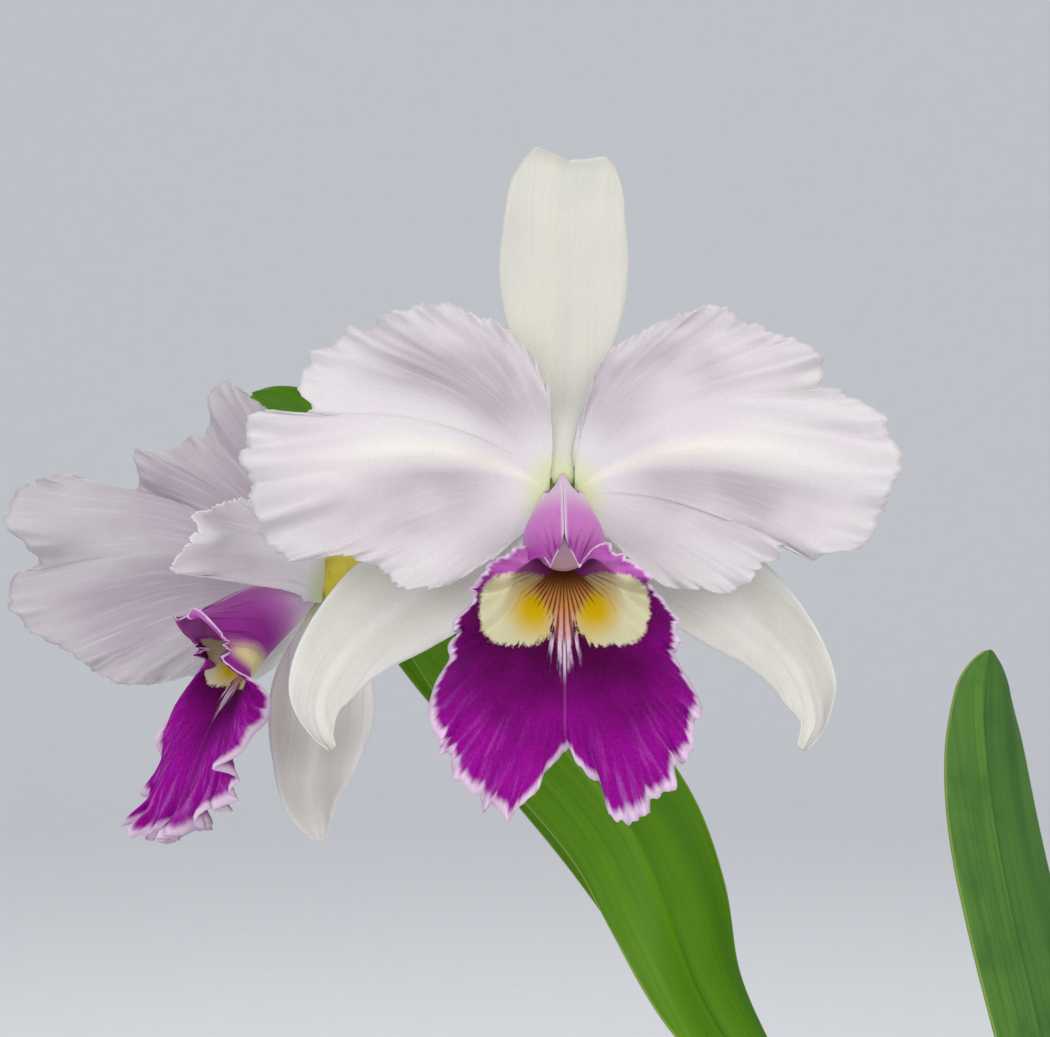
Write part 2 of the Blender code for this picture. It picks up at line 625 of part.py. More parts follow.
def add_bract(number, growth):
    """The papery husk round the foot of a pseudobulb, torn to a point at its top."""
    def place(u, w):
        height = 0.02 + w * (0.47 - 0.22 * abs(u) ** 1.5)
        angle = math.radians(-100 + 158 * u)
        spare = SEAT_GAP + PETAL_THICKNESS / 2 + 0.3 + 2.2 * w * w
        return bulb_point(growth, height, angle, spare)
    add_sheet(f"husk_{number}", BRACT_CELLS, place, PETAL_THICKNESS, "husk",
              (*growth["base"], BULB_BASE_Z))


def add_new_shoot():
    """The next growth: a pointed bud wrapped in green scales."""
    rings = 10
    foot = Vector((*SHOOT_BASE, BULB_BASE_Z))
    girth = SmoothCurve([(0, 4.6), (0.25, 7.0), (0.55, 5.8), (0.85, 2.8), (1, 1.0)])
    bm = bmesh.new()
    bmesh.ops.create_uvsphere(bm, u_segments=12, v_segments=rings, radius=1.0)
    for vert in bm.verts:
        polar = math.acos(max(-1.0, min(1.0, -vert.co.z)))
        w = min(max((polar - math.pi / rings) / (math.pi - 2 * math.pi / rings), 0), 1)
        at_pole = abs(vert.co.z) > 0.9999
        angle = math.atan2(vert.co.y, vert.co.x)
        radius = 0 if at_pole else girth.at(w)
        bend = Vector((4, 1, 0)) * math.sin(math.pi * w)
        centre = foot.lerp(Vector(SHOOT_TIP), w) + bend
        vert.co = centre + Vector((radius * math.cos(angle), 0.85 * radius * math.sin(angle), 0))
    add_part("new_shoot", bm, "leaf", foot)


def add_leaf(number, leaf):
    """A thick leaf with a groove along its middle."""
    strip = Strip(leaf["groove"], leaf["widths"], (0, -1, 0), leaf["turn"])
    add_sheet(f"leaf_{number}", LEAF_CELLS, lambda u, w: leaf_point(strip, u, crowd(w)), LEAF_THICKNESS,
              "leaf", leaf["groove"][0])


def add_flower_sheath():
    """The flattened sheath at the top of the flowering pseudobulb, open in a slit to the front."""
    path = curve_through(STEM_PATH)
    span = sum((Vector(b) - Vector(a)).length for a, b in zip(STEM_PATH, STEM_PATH[1:]))

    def place(u, w):
        length = (SHEATH_LENGTH - 26 * abs(u) ** 1.5) * w
        centre = path.at((0.4 + length) / span)
        angle = math.radians(90 + 168 * u)
        wide = 3.6 + 4.4 * math.sin(math.pi * min(0.25 + 0.75 * w, 1)) * smoothstep(0, 0.3, w)
        deep = 3.6 + 0.8 * smoothstep(0, 0.5, w)
        return centre + Vector((wide * math.cos(angle), deep * math.sin(angle), 0.3))
    add_sheet("flower_sheath", BRACT_CELLS, place, PETAL_THICKNESS, "leaf", STEM_PATH[0])


def lengthened(points, extra):
    """The same route, run on by twice extra at both ends, so that a cutter clears the ends too."""
    route = [Vector(point) for point in points]
    route[0] += (route[0] - route[1]).normalized() * 2 * extra
    route[-1] += (route[-1] - route[-2]).normalized() * 2 * extra
    return route


def root_tubes(extra):
    """The rhizome and its roots as closed tubes, fatter by extra when they cut the bark."""
    z = RHIZOME_Z
    order = [GROWTHS[n]["base"] for n in (5, 4, 3, 2, 1)] + [SHOOT_BASE]
    ends = [(12, 47)] + order + [(-47, 12)]
    thick = RHIZOME_RADIUS + extra
    tubes = [tube("rhizome", lengthened([(x, y, z) for x, y in ends], extra),
                  [(0, thick), (1, thick)], 22, "root")]
    thin = [(0, ROOT_RADIUS + extra), (1, ROOT_RADIUS - ROOT_TAPER + extra)]
    on_rim = POT_RIM_RADIUS - 1
    over_rim = POT_RIM_RADIUS + ROOT_RADIUS + 0.7
    crest = POT_HEIGHT + ROOT_OVER_RIM
    routes = [
        [(-40, 10, z), (-44, -6, z + 1), (-40, -22, z - 1), (-34, -34, z - 9)],
        [(-15, 16, z), (-21, 27, z + 1), (-31, 33, z - 1), (-34, 34, z - 9)],
        [(6, -5, z), (0, -20, z + 1), (-10, -34, z), (-12, -46, z - 9)],
        [(18, 42, z), (4, 44, z + 1), (-8, 47, z - 2), (-14, 46, z - 9)],
        [(-12, 14, z), (-14, 0, z + 1), (-20, -12, z - 1), (-22, -20, z - 9)],
        [(33, -20, z), (31, -34, z + 3), (31, -44, POT_HEIGHT + 1), (30, -52, POT_HEIGHT + 3),
         (0.5 * on_rim, -0.866 * on_rim, crest), (0.5 * over_rim, -0.866 * over_rim, POT_HEIGHT - 2),
         (0.47 * over_rim, -0.883 * over_rim, POT_HEIGHT - 18),
         (0.40 * over_rim, -0.917 * over_rim, POT_HEIGHT - 40)],
        [(41, -1, z), (47, 5, z + 4), (51.5, 10, POT_HEIGHT + 1.2), (57.5, 12, POT_HEIGHT + 3),
         (0.978 * on_rim, 0.208 * on_rim, crest), (0.978 * over_rim, 0.208 * over_rim, POT_HEIGHT - 2),
         (0.971 * over_rim, 0.24 * over_rim, POT_HEIGHT - 16),
         (0.955 * over_rim, 0.297 * over_rim, POT_HEIGHT - 30)],
    ]
    for number, route in enumerate(routes):
        steps = 18 if len(route) > 5 else 9
        tubes.append(tube(f"root_{number}", lengthened(route, extra), thin, steps, "root", sides=1))
    return tubes


def add_bark_and_roots():
    """The bark fills the pot; the rhizome lies half sunk in it, in a hollow cut to its shape."""
    draw = random.Random(BARK_SEED)
    chunks = []
    while len(chunks) < BARK_CHUNKS:
        x = draw.uniform(-BARK_REACH, BARK_REACH)
        y = draw.uniform(-BARK_REACH, BARK_REACH)
        if math.hypot(x, y) < BARK_REACH:
            chunks.append((x, y, draw.uniform(-0.5, 0.5), draw.uniform(-0.25, 0.25),
                           draw.uniform(-0.25, 0.25)))
    slope = (POT_RIM_RADIUS - POT_RIM_STEP - POT_BASE_RADIUS) / POT_HEIGHT
    clear = POT_WALL + SEAT_GAP + FACET_SAG
    floor = POT_FLOOR + SEAT_GAP
    rings = BARK_TOP_RINGS + 3

    def surface(x, y):
        near = min(chunks, key=lambda c: (c[0] - x) ** 2 + (c[1] - y) ** 2)
        tilt = near[3] * (x - near[0]) + near[4] * (y - near[1])
        return BARK_TOP + BARK_RELIEF * near[2] + max(-2.0, min(2.0, tilt))

    bm = bmesh.new()
    bmesh.ops.create_uvsphere(bm, u_segments=POT_SIDES, v_segments=rings, radius=1.0)
    for vert in bm.verts:
        ring = round(rings * math.acos(max(-1.0, min(1.0, vert.co.z))) / math.pi)
        angle = math.atan2(vert.co.y, vert.co.x)
        top_radius = POT_BASE_RADIUS + slope * BARK_TOP - clear
        if ring <= BARK_TOP_RINGS:
            radius = top_radius * ring / BARK_TOP_RINGS
            x = radius * math.cos(angle)
            y = radius * math.sin(angle)
            vert.co = (x, y, BARK_TOP if ring == BARK_TOP_RINGS else surface(x, y))
        else:
            radius = POT_BASE_RADIUS + slope * floor - clear if ring < rings else 0
            radius *= 1.0 if ring == BARK_TOP_RINGS + 1 else 0.5
            vert.co = (radius * math.cos(angle), radius * math.sin(angle), floor)
    bark = add_part("bark", bm, "bark")
    roots = fuse("rhizome_and_roots", root_tubes(0), "root")
    hollow = fuse("root_hollow", root_tubes(SEAT_GAP + FACET_SAG), "root")
    hollow.hide_render = True
    hollow.display_type = "WIRE"
    hand_over(roots)
    cut = bark.modifiers.new("root_hollow", "BOOLEAN")
    cut.operation = "DIFFERENCE"
    cut.solver = "EXACT"
    cut.object = hollow


def add_pot():
    """A plain clay pot: a turned wall with a thick rim band, and drain holes round its middle."""
    slope = (POT_RIM_RADIUS - POT_RIM_STEP - POT_BASE_RADIUS) / POT_HEIGHT

    def wall(z):
        return POT_BASE_RADIUS + slope * z
    band = POT_HEIGHT - POT_RIM_BAND
    profile = [
        (0, POT_FLOOR),
        (wall(POT_FLOOR) - POT_WALL, POT_FLOOR),
        (wall(POT_HEIGHT) - POT_WALL, POT_HEIGHT - 1.5),
        (wall(POT_HEIGHT) - POT_WALL + 1.5, POT_HEIGHT),
        (POT_RIM_RADIUS - 1.5, POT_HEIGHT),
        (POT_RIM_RADIUS, POT_HEIGHT - 1.5),
        (POT_RIM_RADIUS - 1, band + 1),
        (POT_RIM_RADIUS - 2, band),
        (wall(band), band - 0.6),
        (wall(1.5), 1.5),
        (POT_BASE_RADIUS - 1.5, 0),
        (0, 0),
    ]
    bm = bmesh.new()
    points = [bm.verts.new((radius, 0, z)) for radius, z in profile]
    for a, b in zip(points, points[1:]):
        bm.edges.new((a, b))
    pot = add_part("pot", bm, "clay")
    turn = pot.modifiers.new("turn", "SCREW")
    turn.angle = math.tau
    turn.steps = POT_SIDES
    turn.render_steps = POT_SIDES
    turn.use_merge_vertices = True
    turn.merge_threshold = 1e-5
    for number in range(DRAIN_COUNT):
        angle = math.tau * (number + 0.5) / DRAIN_COUNT
        bm = bmesh.new()
        bmesh.ops.create_cone(bm, cap_ends=True, segments=12, radius1=DRAIN_RADIUS * MM,
                              radius2=DRAIN_RADIUS * MM, depth=4 * POT_FLOOR * MM)
        mesh = bpy.data.meshes.new(f"drain_{number + 1}")
        bm.to_mesh(mesh)
        bm.free()
        drill = bpy.data.objects.new(mesh.name, mesh)
        drill.location = (DRAIN_CIRCLE * math.cos(angle) * MM, DRAIN_CIRCLE * math.sin(angle) * MM, 0)
        drill.hide_render = True
        drill.display_type = "WIRE"
        cutters.objects.link(drill)
        hole = pot.modifiers.new(drill.name, "BOOLEAN")
        hole.operation = "DIFFERENCE"
        hole.solver = "EXACT"
        hole.object = drill


for old in list(bpy.data.objects):
    bpy.data.objects.remove(old)
parts = fresh_collection("cattleya_orchid")
cutters = fresh_collection("cutters")

add_pot()
add_bark_and_roots()
for key, growth_shape in GROWTHS.items():
    add_pseudobulb(key, growth_shape)
    add_bract(key, growth_shape)
    add_leaf(key, LEAVES[key])
add_new_shoot()
add_flower_sheath()
add_flower_stem()
add_bloom(BLOOM_A)
add_bloom(BLOOM_B)
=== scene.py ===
"""Looks of a potted cattleya orchid: fine petals, lips, leaves, bulbs, roots, bark and pot."""

import math
import random
from bisect import bisect_right
from functools import partial

import bmesh
import bpy
from bpy.props import FloatProperty, FloatVectorProperty, IntProperty, PointerProperty
from mathutils import Euler, Matrix, Vector, noise


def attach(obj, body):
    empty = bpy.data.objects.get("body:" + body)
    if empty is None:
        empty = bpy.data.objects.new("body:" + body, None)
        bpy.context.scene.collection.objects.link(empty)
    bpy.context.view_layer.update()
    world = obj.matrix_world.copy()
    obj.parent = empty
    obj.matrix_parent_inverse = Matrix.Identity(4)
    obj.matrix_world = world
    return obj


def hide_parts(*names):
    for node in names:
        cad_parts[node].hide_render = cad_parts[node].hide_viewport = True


bl_info = {
    "name": "Cattleya Orchid",
    "version": (1, 0, 0),
    "blender": (4, 5, 0),
    "location": "View3D > Sidebar > Orchid",
    "description": "Dresses the solids of a potted cattleya orchid with fine blades and living finishes",
    "category": "Object",
}

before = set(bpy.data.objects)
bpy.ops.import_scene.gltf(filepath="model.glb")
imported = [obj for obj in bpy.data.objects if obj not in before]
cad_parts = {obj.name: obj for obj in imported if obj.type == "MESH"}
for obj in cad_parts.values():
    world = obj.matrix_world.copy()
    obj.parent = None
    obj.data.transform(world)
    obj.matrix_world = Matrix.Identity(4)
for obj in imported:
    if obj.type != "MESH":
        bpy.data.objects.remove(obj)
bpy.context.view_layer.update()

# Every length below is in millimetres, every angle in degrees. Meshes are made in metres.
MM = 0.001
SEAT_GAP = 0.3

# The pot stands on z = 0 with its axis on the origin.
POT_HEIGHT = 105.0
POT_BASE_RADIUS = 44.0
POT_RIM_RADIUS = 66.0
POT_RIM_BAND = 20.0
POT_RIM_STEP = 3.0
POT_WALL = 6.0
POT_FLOOR = 9.0
POT_SLOPE = (POT_RIM_RADIUS - POT_RIM_STEP - POT_BASE_RADIUS) / POT_HEIGHT
DRAIN_RADIUS = 5.0
DRAIN_CIRCLE = 24.0
DRAIN_COUNT = 4

RHIZOME_Z = 97.0
RHIZOME_RADIUS = 5.0
ROOT_RADIUS = 1.9
ROOT_TAPER = 0.4
ROOT_OVER_RIM = 2.4
BULB_BASE_Z = RHIZOME_Z + RHIZOME_RADIUS + SEAT_GAP

# Each growth: where its pseudobulb stands, where it ends, and its greatest radius.
GROWTHS = {
    1: {"base": (-15, 16), "apex": (-41.3, 20, 259), "radius": 12.5, "girth_at": 0.62},
    2: {"base": (6, -5), "apex": (-20.9, -10, 244), "radius": 12.0, "girth_at": 0.60},
    3: {"base": (33, -20), "apex": (55.1, -20, 184), "radius": 11.5, "girth_at": 0.55},
    4: {"base": (44, 17), "apex": (64, 26, 190), "radius": 12.5, "girth_at": 0.58},
    5: {"base": (18, 42), "apex": (30, 62, 170), "radius": 12.0, "girth_at": 0.56},
}
BULB_FOOT_RADIUS = 4.6
BULB_TOP_RADIUS = 8.0
SHOOT_BASE = (-42, 10)
SHOOT_TIP = (-54, 4, 158)

NO_TURN = [(0, 0), (1, 0)]

# Each leaf: the points along its groove from the pseudobulb's top to its tip, its half widths
# along the way, and how far its face is turned from the front about the groove.
LEAVES = {
    1: {
        "groove": [(-40.5, 26.5, 260.55), (-54, 33, 293), (-73.4, 42, 330.3), (-95.8, 52, 361.8),
                   (-120, 62, 391.1), (-141.8, 69, 422.6), (-159.9, 74, 444.3), (-179, 77, 458.6)],
        "widths": [(0, 4.5), (0.15, 10), (0.35, 16), (0.55, 19), (0.78, 18), (0.92, 12.5), (1, 8)],
        "turn": NO_TURN,
    },
    2: {
        "groove": [(-20.9, -10, 245.7), (-37.6, -12, 271.3), (-53.7, -13, 297.5), (-63.5, -14, 323.6),
                   (-71.9, -14, 342), (-89.5, -14, 364.3), (-111.8, -13, 387.1), (-134.7, -12, 410)],
        "widths": [(0, 5), (0.15, 10), (0.31, 15.7), (0.47, 17.7), (0.6, 19), (0.78, 18.5),
                   (0.92, 13), (1, 8)],
        "turn": [(0, 44), (0.31, 38), (0.5, 2), (0.7, -8), (1, -10)],
    },
    3: {
        "groove": [(55.1, -20, 185.2), (44.7, -20, 237.5), (34.5, -20, 287.8), (27.2, -20, 318.8),
                   (23.3, -20, 338.7), (20.7, -20, 358.2), (19.7, -20, 375.7), (20.7, -20, 388.2)],
        "widths": [(0, 5), (0.15, 9), (0.35, 14), (0.5, 16), (0.76, 16), (0.88, 13.5), (0.95, 9.5),
                   (1, 6.5)],
        "turn": [(0, 40), (1, 34)],
    },
    4: {
        "groove": [(64, 26, 191.2), (70, 30, 225), (80, 36, 270), (93, 42, 315), (108, 46, 352)],
        "widths": [(0, 5), (0.2, 11), (0.45, 17), (0.7, 17), (0.88, 12), (1, 6)],
        "turn": [(0, -20), (1, -35)],
    },
    5: {
        "groove": [(30, 62, 172.6), (40, 72, 203), (58, 84, 240), (82, 95, 270), (110, 103, 290)],
        "widths": [(0, 5), (0.2, 10), (0.45, 15), (0.7, 15.5), (0.88, 11), (1, 6)],
        "turn": [(0, 160), (1, 175)],
    },
}
LEAF_FOLD = 18.0

# The flower stem rises out of its sheath and forks behind the blooms.
STEM_RADIUS = 2.6
FORK = (-79.6, 18, 389.9)
STEM_PATH = [(-42.5, 17.5, 260), (-49.5, 16, 288), (-61, 15, 330), (-71.5, 16, 365), FORK]
OVARY_RADIUS = 4.3
SHEATH_LENGTH = 88.0

# Both blooms share these: z is up and -y is the way the bloom looks, from its own centre.
OVARY_FRONT = 3.0
PETAL_SEAT = 1.5
CLAW_HALF = 3.4
COLUMN_LENGTH = 28.0
COLUMN_NECK = 1.7
COLUMN_TIP = 4.8

# A petal's rays bow upwards from its claw; its face is a shallow bowl whose lower half droops.
PETAL_BOW = 34.0
PETAL_BOWL = 8.0
PETAL_DROOP = 7.5
PETAL_BACKROLL = 3.0
MIDRIB_SPREAD = 40.0
FULL_PETAL = 80.0

# The lip's tube, from its foot past its throat to its mouth, which is cut back below by the
# undercut, and the folds in its lobe.
LIP_SEAT = 0.3
LIP_UNDERCUT = 9.0
LIP_FOOT_RADIUS = 4.4
LIP_TUBE_RADIUS = 8.6
LIP_THROAT_RADIUS = 9.6
LIP_MOUTH_RADIUS = 5.6
LIP_BELLY = 5.0
LIP_FLARE = 0.12
LIP_FRILL = 2.6
LIP_FRILLS = 13

# A petal's margin is given as (angle above the outward line, reach from the claw), bottom to top.
PETAL_A_LEFT = [(-51, 21), (-43, 33.5), (-38, 39), (-31, 43), (-22, 47.7), (-18.2, 52.8),
                (-16.6, 57), (-16.2, 61.5), (-14.6, 66.4), (-10.7, 69.9), (-6.5, 71.1),
                (-2.5, 73.4), (2.8, 74.4), (9.5, 76.3), (14, 75), (16, 70.5), (16.6, 66), (19, 63),
                (22.4, 65.8), (29, 66.5), (41, 61.1), (58, 53.5), (74, 41.5), (81, 34.5),
                (90, 24.5)]
PETAL_A_RIGHT = [(-52, 16.7), (-50, 25.8), (-45.6, 33.6), (-38.5, 39.8), (-33, 46.1), (-25, 48.1),
                 (-21, 51.8), (-14.5, 58.5), (-16.5, 64.6), (-10.5, 71.4), (-5.4, 74.8), (3, 79),
                 (5.4, 80.2), (11, 77.8), (16, 74.6), (21, 70), (24.5, 67.5), (28, 68.5),
                 (34, 66.3), (40, 61.5), (46, 58.4), (54, 55.5), (60, 48.8), (65, 44.4),
                 (72.5, 37.5), (78.5, 30.7), (82, 22.1), (85, 11)]
PETAL_B_LEFT = [(-52, 18), (-39.5, 35.6), (-29.9, 51.3), (-21.8, 59.7), (-17, 62.5), (-10.9, 71.6),
                (-1.9, 80.2), (2.5, 81), (4.8, 75.6), (8, 76), (13.2, 82.6), (21, 79.7),
                (25.3, 72.6), (27.4, 64), (29.4, 56), (33.5, 53), (41.5, 56.5), (46, 50.5),
                (54.4, 50.5), (61, 50.8), (70, 58), (77, 54), (84, 38), (92, 20)]
PETAL_B_RIGHT = [(-30, 8), (-10, 15), (-7.5, 28), (-6, 42), (-5, 52), (-1, 55), (7, 50), (20, 42),
                 (36, 32), (55, 26), (74, 18)]

BLOOM_A = {
    "name": "bloom_a",
    "centre": (-90.7, -70, 430),
    "yaw": 0,
    "tube_dip": 36,
    "lip_lean": 32,
    "tube_length": 42,
    "lip_breadth": 1.0,
    "lip_drop": 1.0,
    "pedicel": [(-90.7, -42, 427), (-87, -20, 416), (-82.5, 0, 402)],
    "ovary_bow": 0,
    "petal_left": {"margin": PETAL_A_LEFT, "claw": 3.2, "sweep": 0, "lift": 0, "midrib": 4,
                   "waves": 7.5, "phase": 0.4, "ruffle": 4.0},
    "petal_right": {"margin": PETAL_A_RIGHT, "claw": 2.9, "sweep": 0, "lift": 0, "midrib": 4,
                    "waves": 7.0, "phase": 2.0, "ruffle": 4.0},
    "dorsal_sepal": {
        "spine": [(0, 2.4, 1.5), (0, 2.9, 10), (0.1, 6, 28), (0.3, 8.5, 52), (0.8, 8, 72),
                  (1.6, 9.6, 80.5), (2, 14, 82.6), (2.2, 19, 79.5), (2.2, 22, 75)],
        "widths": [(0, 2.4), (0.12, 5), (0.3, 10.5), (0.42, 14.3), (0.56, 16), (0.7, 14.9),
                   (0.77, 14), (0.815, 12), (0.86, 9.2), (0.93, 5.5), (1, 1.0)],
        "trough": 2.0,
    },
    "lateral_sepal_left": {
        "spine": [(-2.5, 2.4, -2.3), (-10.5, 5, -9.1), (-25, 10, -19.8), (-42.9, 12.5, -29.1),
                  (-55.8, 11, -41), (-61.1, 8, -52.5), (-59.4, 4.5, -61.2), (-57.1, 3, -64.3)],
        "widths": [(0, 2.4), (0.25, 10.5), (0.5, 13.8), (0.68, 11), (0.84, 7.6), (0.93, 3.8),
                   (1, 1.2)],
        "trough": 2.4,
    },
    "lateral_sepal_right": {
        "spine": [(2.5, 2.4, -2.3), (9.2, 5, -7.9), (23, 10, -16.3), (43, 12.5, -28.1),
                  (52.2, 11.5, -35.8), (58.8, 10, -44.1), (61.8, 7.5, -51.7), (62.4, 5.5, -57.8),
                  (59.5, 4, -64.1)],
        "widths": [(0, 2.4), (0.25, 10), (0.5, 12.8), (0.63, 10.8), (0.75, 8.6), (0.85, 6.8),
                   (0.92, 3.6), (1, 1.4)],
        "trough": 2.4,
    },
}
BLOOM_B = {
    "name": "bloom_b",
    "centre": (-158.4, -5, 404),
    "yaw": -46,
    "tube_dip": 23,
    "lip_lean": 22,
    "tube_length": 36,
    "lip_breadth": 0.64,
    "lip_drop": 0.95,
    "pedicel": [(-142, 11, 409), (-128, 17, 418), (-108, 21, 416), (-90, 21, 403)],
    "ovary_bow": 5.5,
    "petal_left": {"margin": PETAL_B_LEFT, "claw": 4.6, "sweep": 34, "lift": 0, "midrib": 4,
                   "waves": 8.0, "phase": 1.0, "ruffle": 4.0},
    "petal_right": {"margin": PETAL_B_RIGHT, "claw": 5.4, "sweep": 75, "lift": 12, "midrib": 4,
                    "waves": 5.0, "phase": 0.0, "ruffle": 3.0},
    "dorsal_sepal": {
        "spine": [(0, 2.4, 1.5), (-0.4, 2.4, 7.5), (-1.8, 4, 12), (-6.5, 10, 21), (-13.5, 21, 34),
                  (-19, 32, 48), (-22.5, 41.5, 58)],
        "widths": [(0, 2.4), (0.15, 5), (0.35, 11), (0.55, 13.5), (0.75, 12.5), (0.9, 8), (1, 1.0)],
        "trough": 2.0,
    },
    "lateral_sepal_left": {
        "spine": [(-2.5, 2.4, -2.5), (-9.5, 4.8, -5.5), (-19.6, 9.5, -9), (-35.5, 12, -15),
                  (-50.1, 11, -19.5), (-62, 8, -22)],
        "widths": [(0, 2.4), (0.27, 8), (0.5, 10.5), (0.72, 10), (0.9, 6), (1, 1.2)],
        "trough": 2.2,
    },
    "lateral_sepal_right": {
        "spine": [(2.2, 2.4, -3), (3, 3.8, -12), (4.9, 2.2, -28.9), (7.3, -2.4, -43.4),
                  (9.2, -5.5, -54.7), (14, -6, -65.3)],
        "widths": [(0, 2.4), (0.18, 10.5), (0.43, 14.2), (0.66, 11.5), (0.84, 7.2), (0.94, 4),
                   (1, 1.5)],
        "turn": [(0, 0), (0.15, -20), (0.4, -42), (1, -42)],
        "trough": 2.2,
    },
}

# How many cells the fine sheets are cut into, across and along.
FINE_PETAL_CELLS = (400, 44)
FINE_SEPAL_CELLS = (24, 90)
FINE_LIP_CELLS = (560, 56)
FINE_LEAF_CELLS = (28, 110)
FINE_BRACT_CELLS = (84, 34)

# How many cells the closed bodies and the tubes are cut into, around and along.
FINE_COLUMN_CELLS = (40, 60)
FINE_SHOOT_CELLS = (48, 80)
FINE_BULB_CELLS = (70, 60)
FINE_FILLING_CELLS = (72, 60)
FINE_STEM_CELLS = (24, 90)
FINE_STALK_CELLS = (24, 70)
FINE_RHIZOME_CELLS = (28, 160)
FINE_ROOT_CELLS = (16, 90)

# The grain of the skins that tubes grow into, in millimetres, and how far and how often they are
# smoothed.
STEM_GRAIN = 0.6
ROOT_GRAIN = 0.65
EASE = 0.5
EASE_ROUNDS = 4

# How close points are made one, in millimetres, and in metres for the floor.
MERGE = 1e-4
FLOOR_MERGE = 1e-6

# The seam of the lip is shut, and its lobes part at the mouth, where they curl round the column.
FINE_LIP_SEAM = 179.6
LIP_PARTING = 153.0

# Each fine lip's reach from the middle of its mouth by the angle from straight down, on its left and
# its right; and how it departs from its plain form: the height of its hood, how far that and the
# side lobes reach forward, how crisp its frills are, how deep its teeth and lobes, how strong its
# finest frills and its broad folds, between which angles they die away, and how its pattern is scaled.
REACH_A = [(0, 36), (5, 41), (9.6, 45.5), (13, 52), (17, 53), (22, 51.8), (28, 49.5), (36, 47),
           (45, 44), (50, 41.5), (54, 37.5), (59, 31.5), (66, 29.5), (76, 27.5), (85.5, 23),
           (105, 20.2), (120, 17), (136, 15.3), (143, 14.4), (149, 12), (LIP_PARTING, 8.2)]
REACH_B_LEFT = [(0, 47), (5, 50), (13, 53), (22, 51.5), (28, 49), (36, 44), (45, 33), (58, 20),
                (66, 13), (78, 7.5), (90, 6.5), (103, 7.5), (120, 10), (136, 10.5), (147, 10),
                (LIP_PARTING, 8)]
REACH_B_RIGHT = [(0, 47), (5, 49), (13, 52), (22, 52), (28, 52), (36, 50.5), (45, 46.5), (55, 37),
                 (66, 25.5), (78, 14), (90, 12), (103, 13), (120, 14), (136, 13.5), (147, 12),
                 (LIP_PARTING, 9)]
LIP_CHARACTER = {
    "bloom_a": {
        "left": REACH_A, "right": REACH_A, "hood": 1.0, "hood_shift": (0, 0, 0), "sides": 0.0,
        "crisp": 1.0, "lobes": 1.0, "fine": 0.5, "rumple": 4.4, "calm": (172, 150), "pattern": 1.0},
    "bloom_b": {
        "left": REACH_B_LEFT, "right": REACH_B_RIGHT, "hood": 0.8, "hood_shift": (0, -9, 2), "sides": 5.0,
        "crisp": 1.8, "lobes": 1.1, "fine": 0.8, "rumple": 3.0, "calm": (112, 72), "pattern": 1.4},
}

# Folds in the petals: (angle above the outward line, height towards the back, breadth in degrees,
# and how far out the fold starts).
PLEATS = {
    "bloom_a_petal_left": [(60, 0.8, 3.0, 0.6), (55, -1.0, 1.6, 0.7), (43, 1.8, 2.0, 0.5),
                           (38, -2.8, 2.0, 0.35), (27, 3.0, 6.0, 0.35), (17, 1.0, 3.0, 0.6),
                           (9, 2.8, 2.6, 0.55), (5.5, -2.2, 2.0, 0.65), (0.5, 2.8, 2.4, 0.6),
                           (-5, -3.4, 2.2, 0.6), (-9, 3.6, 2.4, 0.65), (-15, -2.4, 3.0, 0.7),
                           (-38, -1.6, 5.0, 0.5)],
    "bloom_a_petal_right": [(62, 1.2, 3.0, 0.6), (52, -1.2, 2.0, 0.55), (36, 2.4, 3.0, 0.45),
                            (29, -2.8, 2.2, 0.4), (22, 3.4, 2.2, 0.6), (14, -2.4, 3.0, 0.55),
                            (9, 2.2, 2.5, 0.6), (2, -2.2, 3.0, 0.6), (-6, 2.4, 3.0, 0.6),
                            (-13, -3.2, 2.6, 0.6), (-20, 3.0, 2.6, 0.55), (-36, -1.6, 5.0, 0.5)],
    "bloom_b_petal_left": [(6, 3.4, 3.0, 0.5), (31, 2.2, 5.0, 0.5), (42, -1.8, 5.0, 0.5),
                           (60, 2.6, 3.0, 0.5), (76, -3.0, 5.0, 0.3), (-20, 1.6, 2.5, 0.6),
                           (-32, 1.6, 2.5, 0.6)],
    "bloom_b_petal_right": [(16, -6.0, 5.0, 0.2), (34, 3.4, 7.0, 0.3), (4, 4.4, 5.0, 0.4),
                            (-4, -3.0, 3.0, 0.5)],
}

# Notches in the petals' margins: (angle above the outward line, depth, breadth in degrees).
NOTCHES = {
    "bloom_a_petal_left": [(18.5, 1.6, 1.6), (41.5, 2.2, 1.3), (33, 1.2, 1.2), (-17.5, 1.5, 1.5)],
    "bloom_a_petal_right": [(23, 3.4, 1.5), (-14.8, 5.0, 2.2), (45, 1.6, 1.5), (-21, 1.5, 1.5)],
    "bloom_b_petal_left": [(5.5, 2.5, 1.6), (31, 2.0, 2.0), (58, 2.0, 2.0)],
    "bloom_b_petal_right": [(9, 2.0, 3.0)],
}

# At their edges the fine blades thin down to this share of their wall.
EDGE_SHARE = 0.45

# How high a petal's midrib stands, and how deep the hollow below it is.
MIDRIB_RIDGE = 1.9
MIDRIB_HOLLOW = 3.6

# A pseudobulb's ringed joints by their share of the way up, and the leaves with the fresher green.
BULB_JOINTS = (0.13, 0.30)
YOUNG_LEAVES = (1, 2)

# A tube's rings are carried along it from this direction.
SIDE_FACE = (0.3, 0.2, 0.93)

# Each scale of the new shoot: where its hem lies, and which way it points.
SHOOT_SCALES = [(0.32, 250), (0.52, 70), (0.70, 240)]

# The filling's even top under the loose chunks, its gap to the clay, how far out the chunks lie,
# and how often one that would stand in the clay is slid inward.
FILL_TOP = 90.0
FILL_GAP = 0.5
CHUNK_REACH = 50.0
CHUNK_SLIDES = 4
BARK_SEED = 11

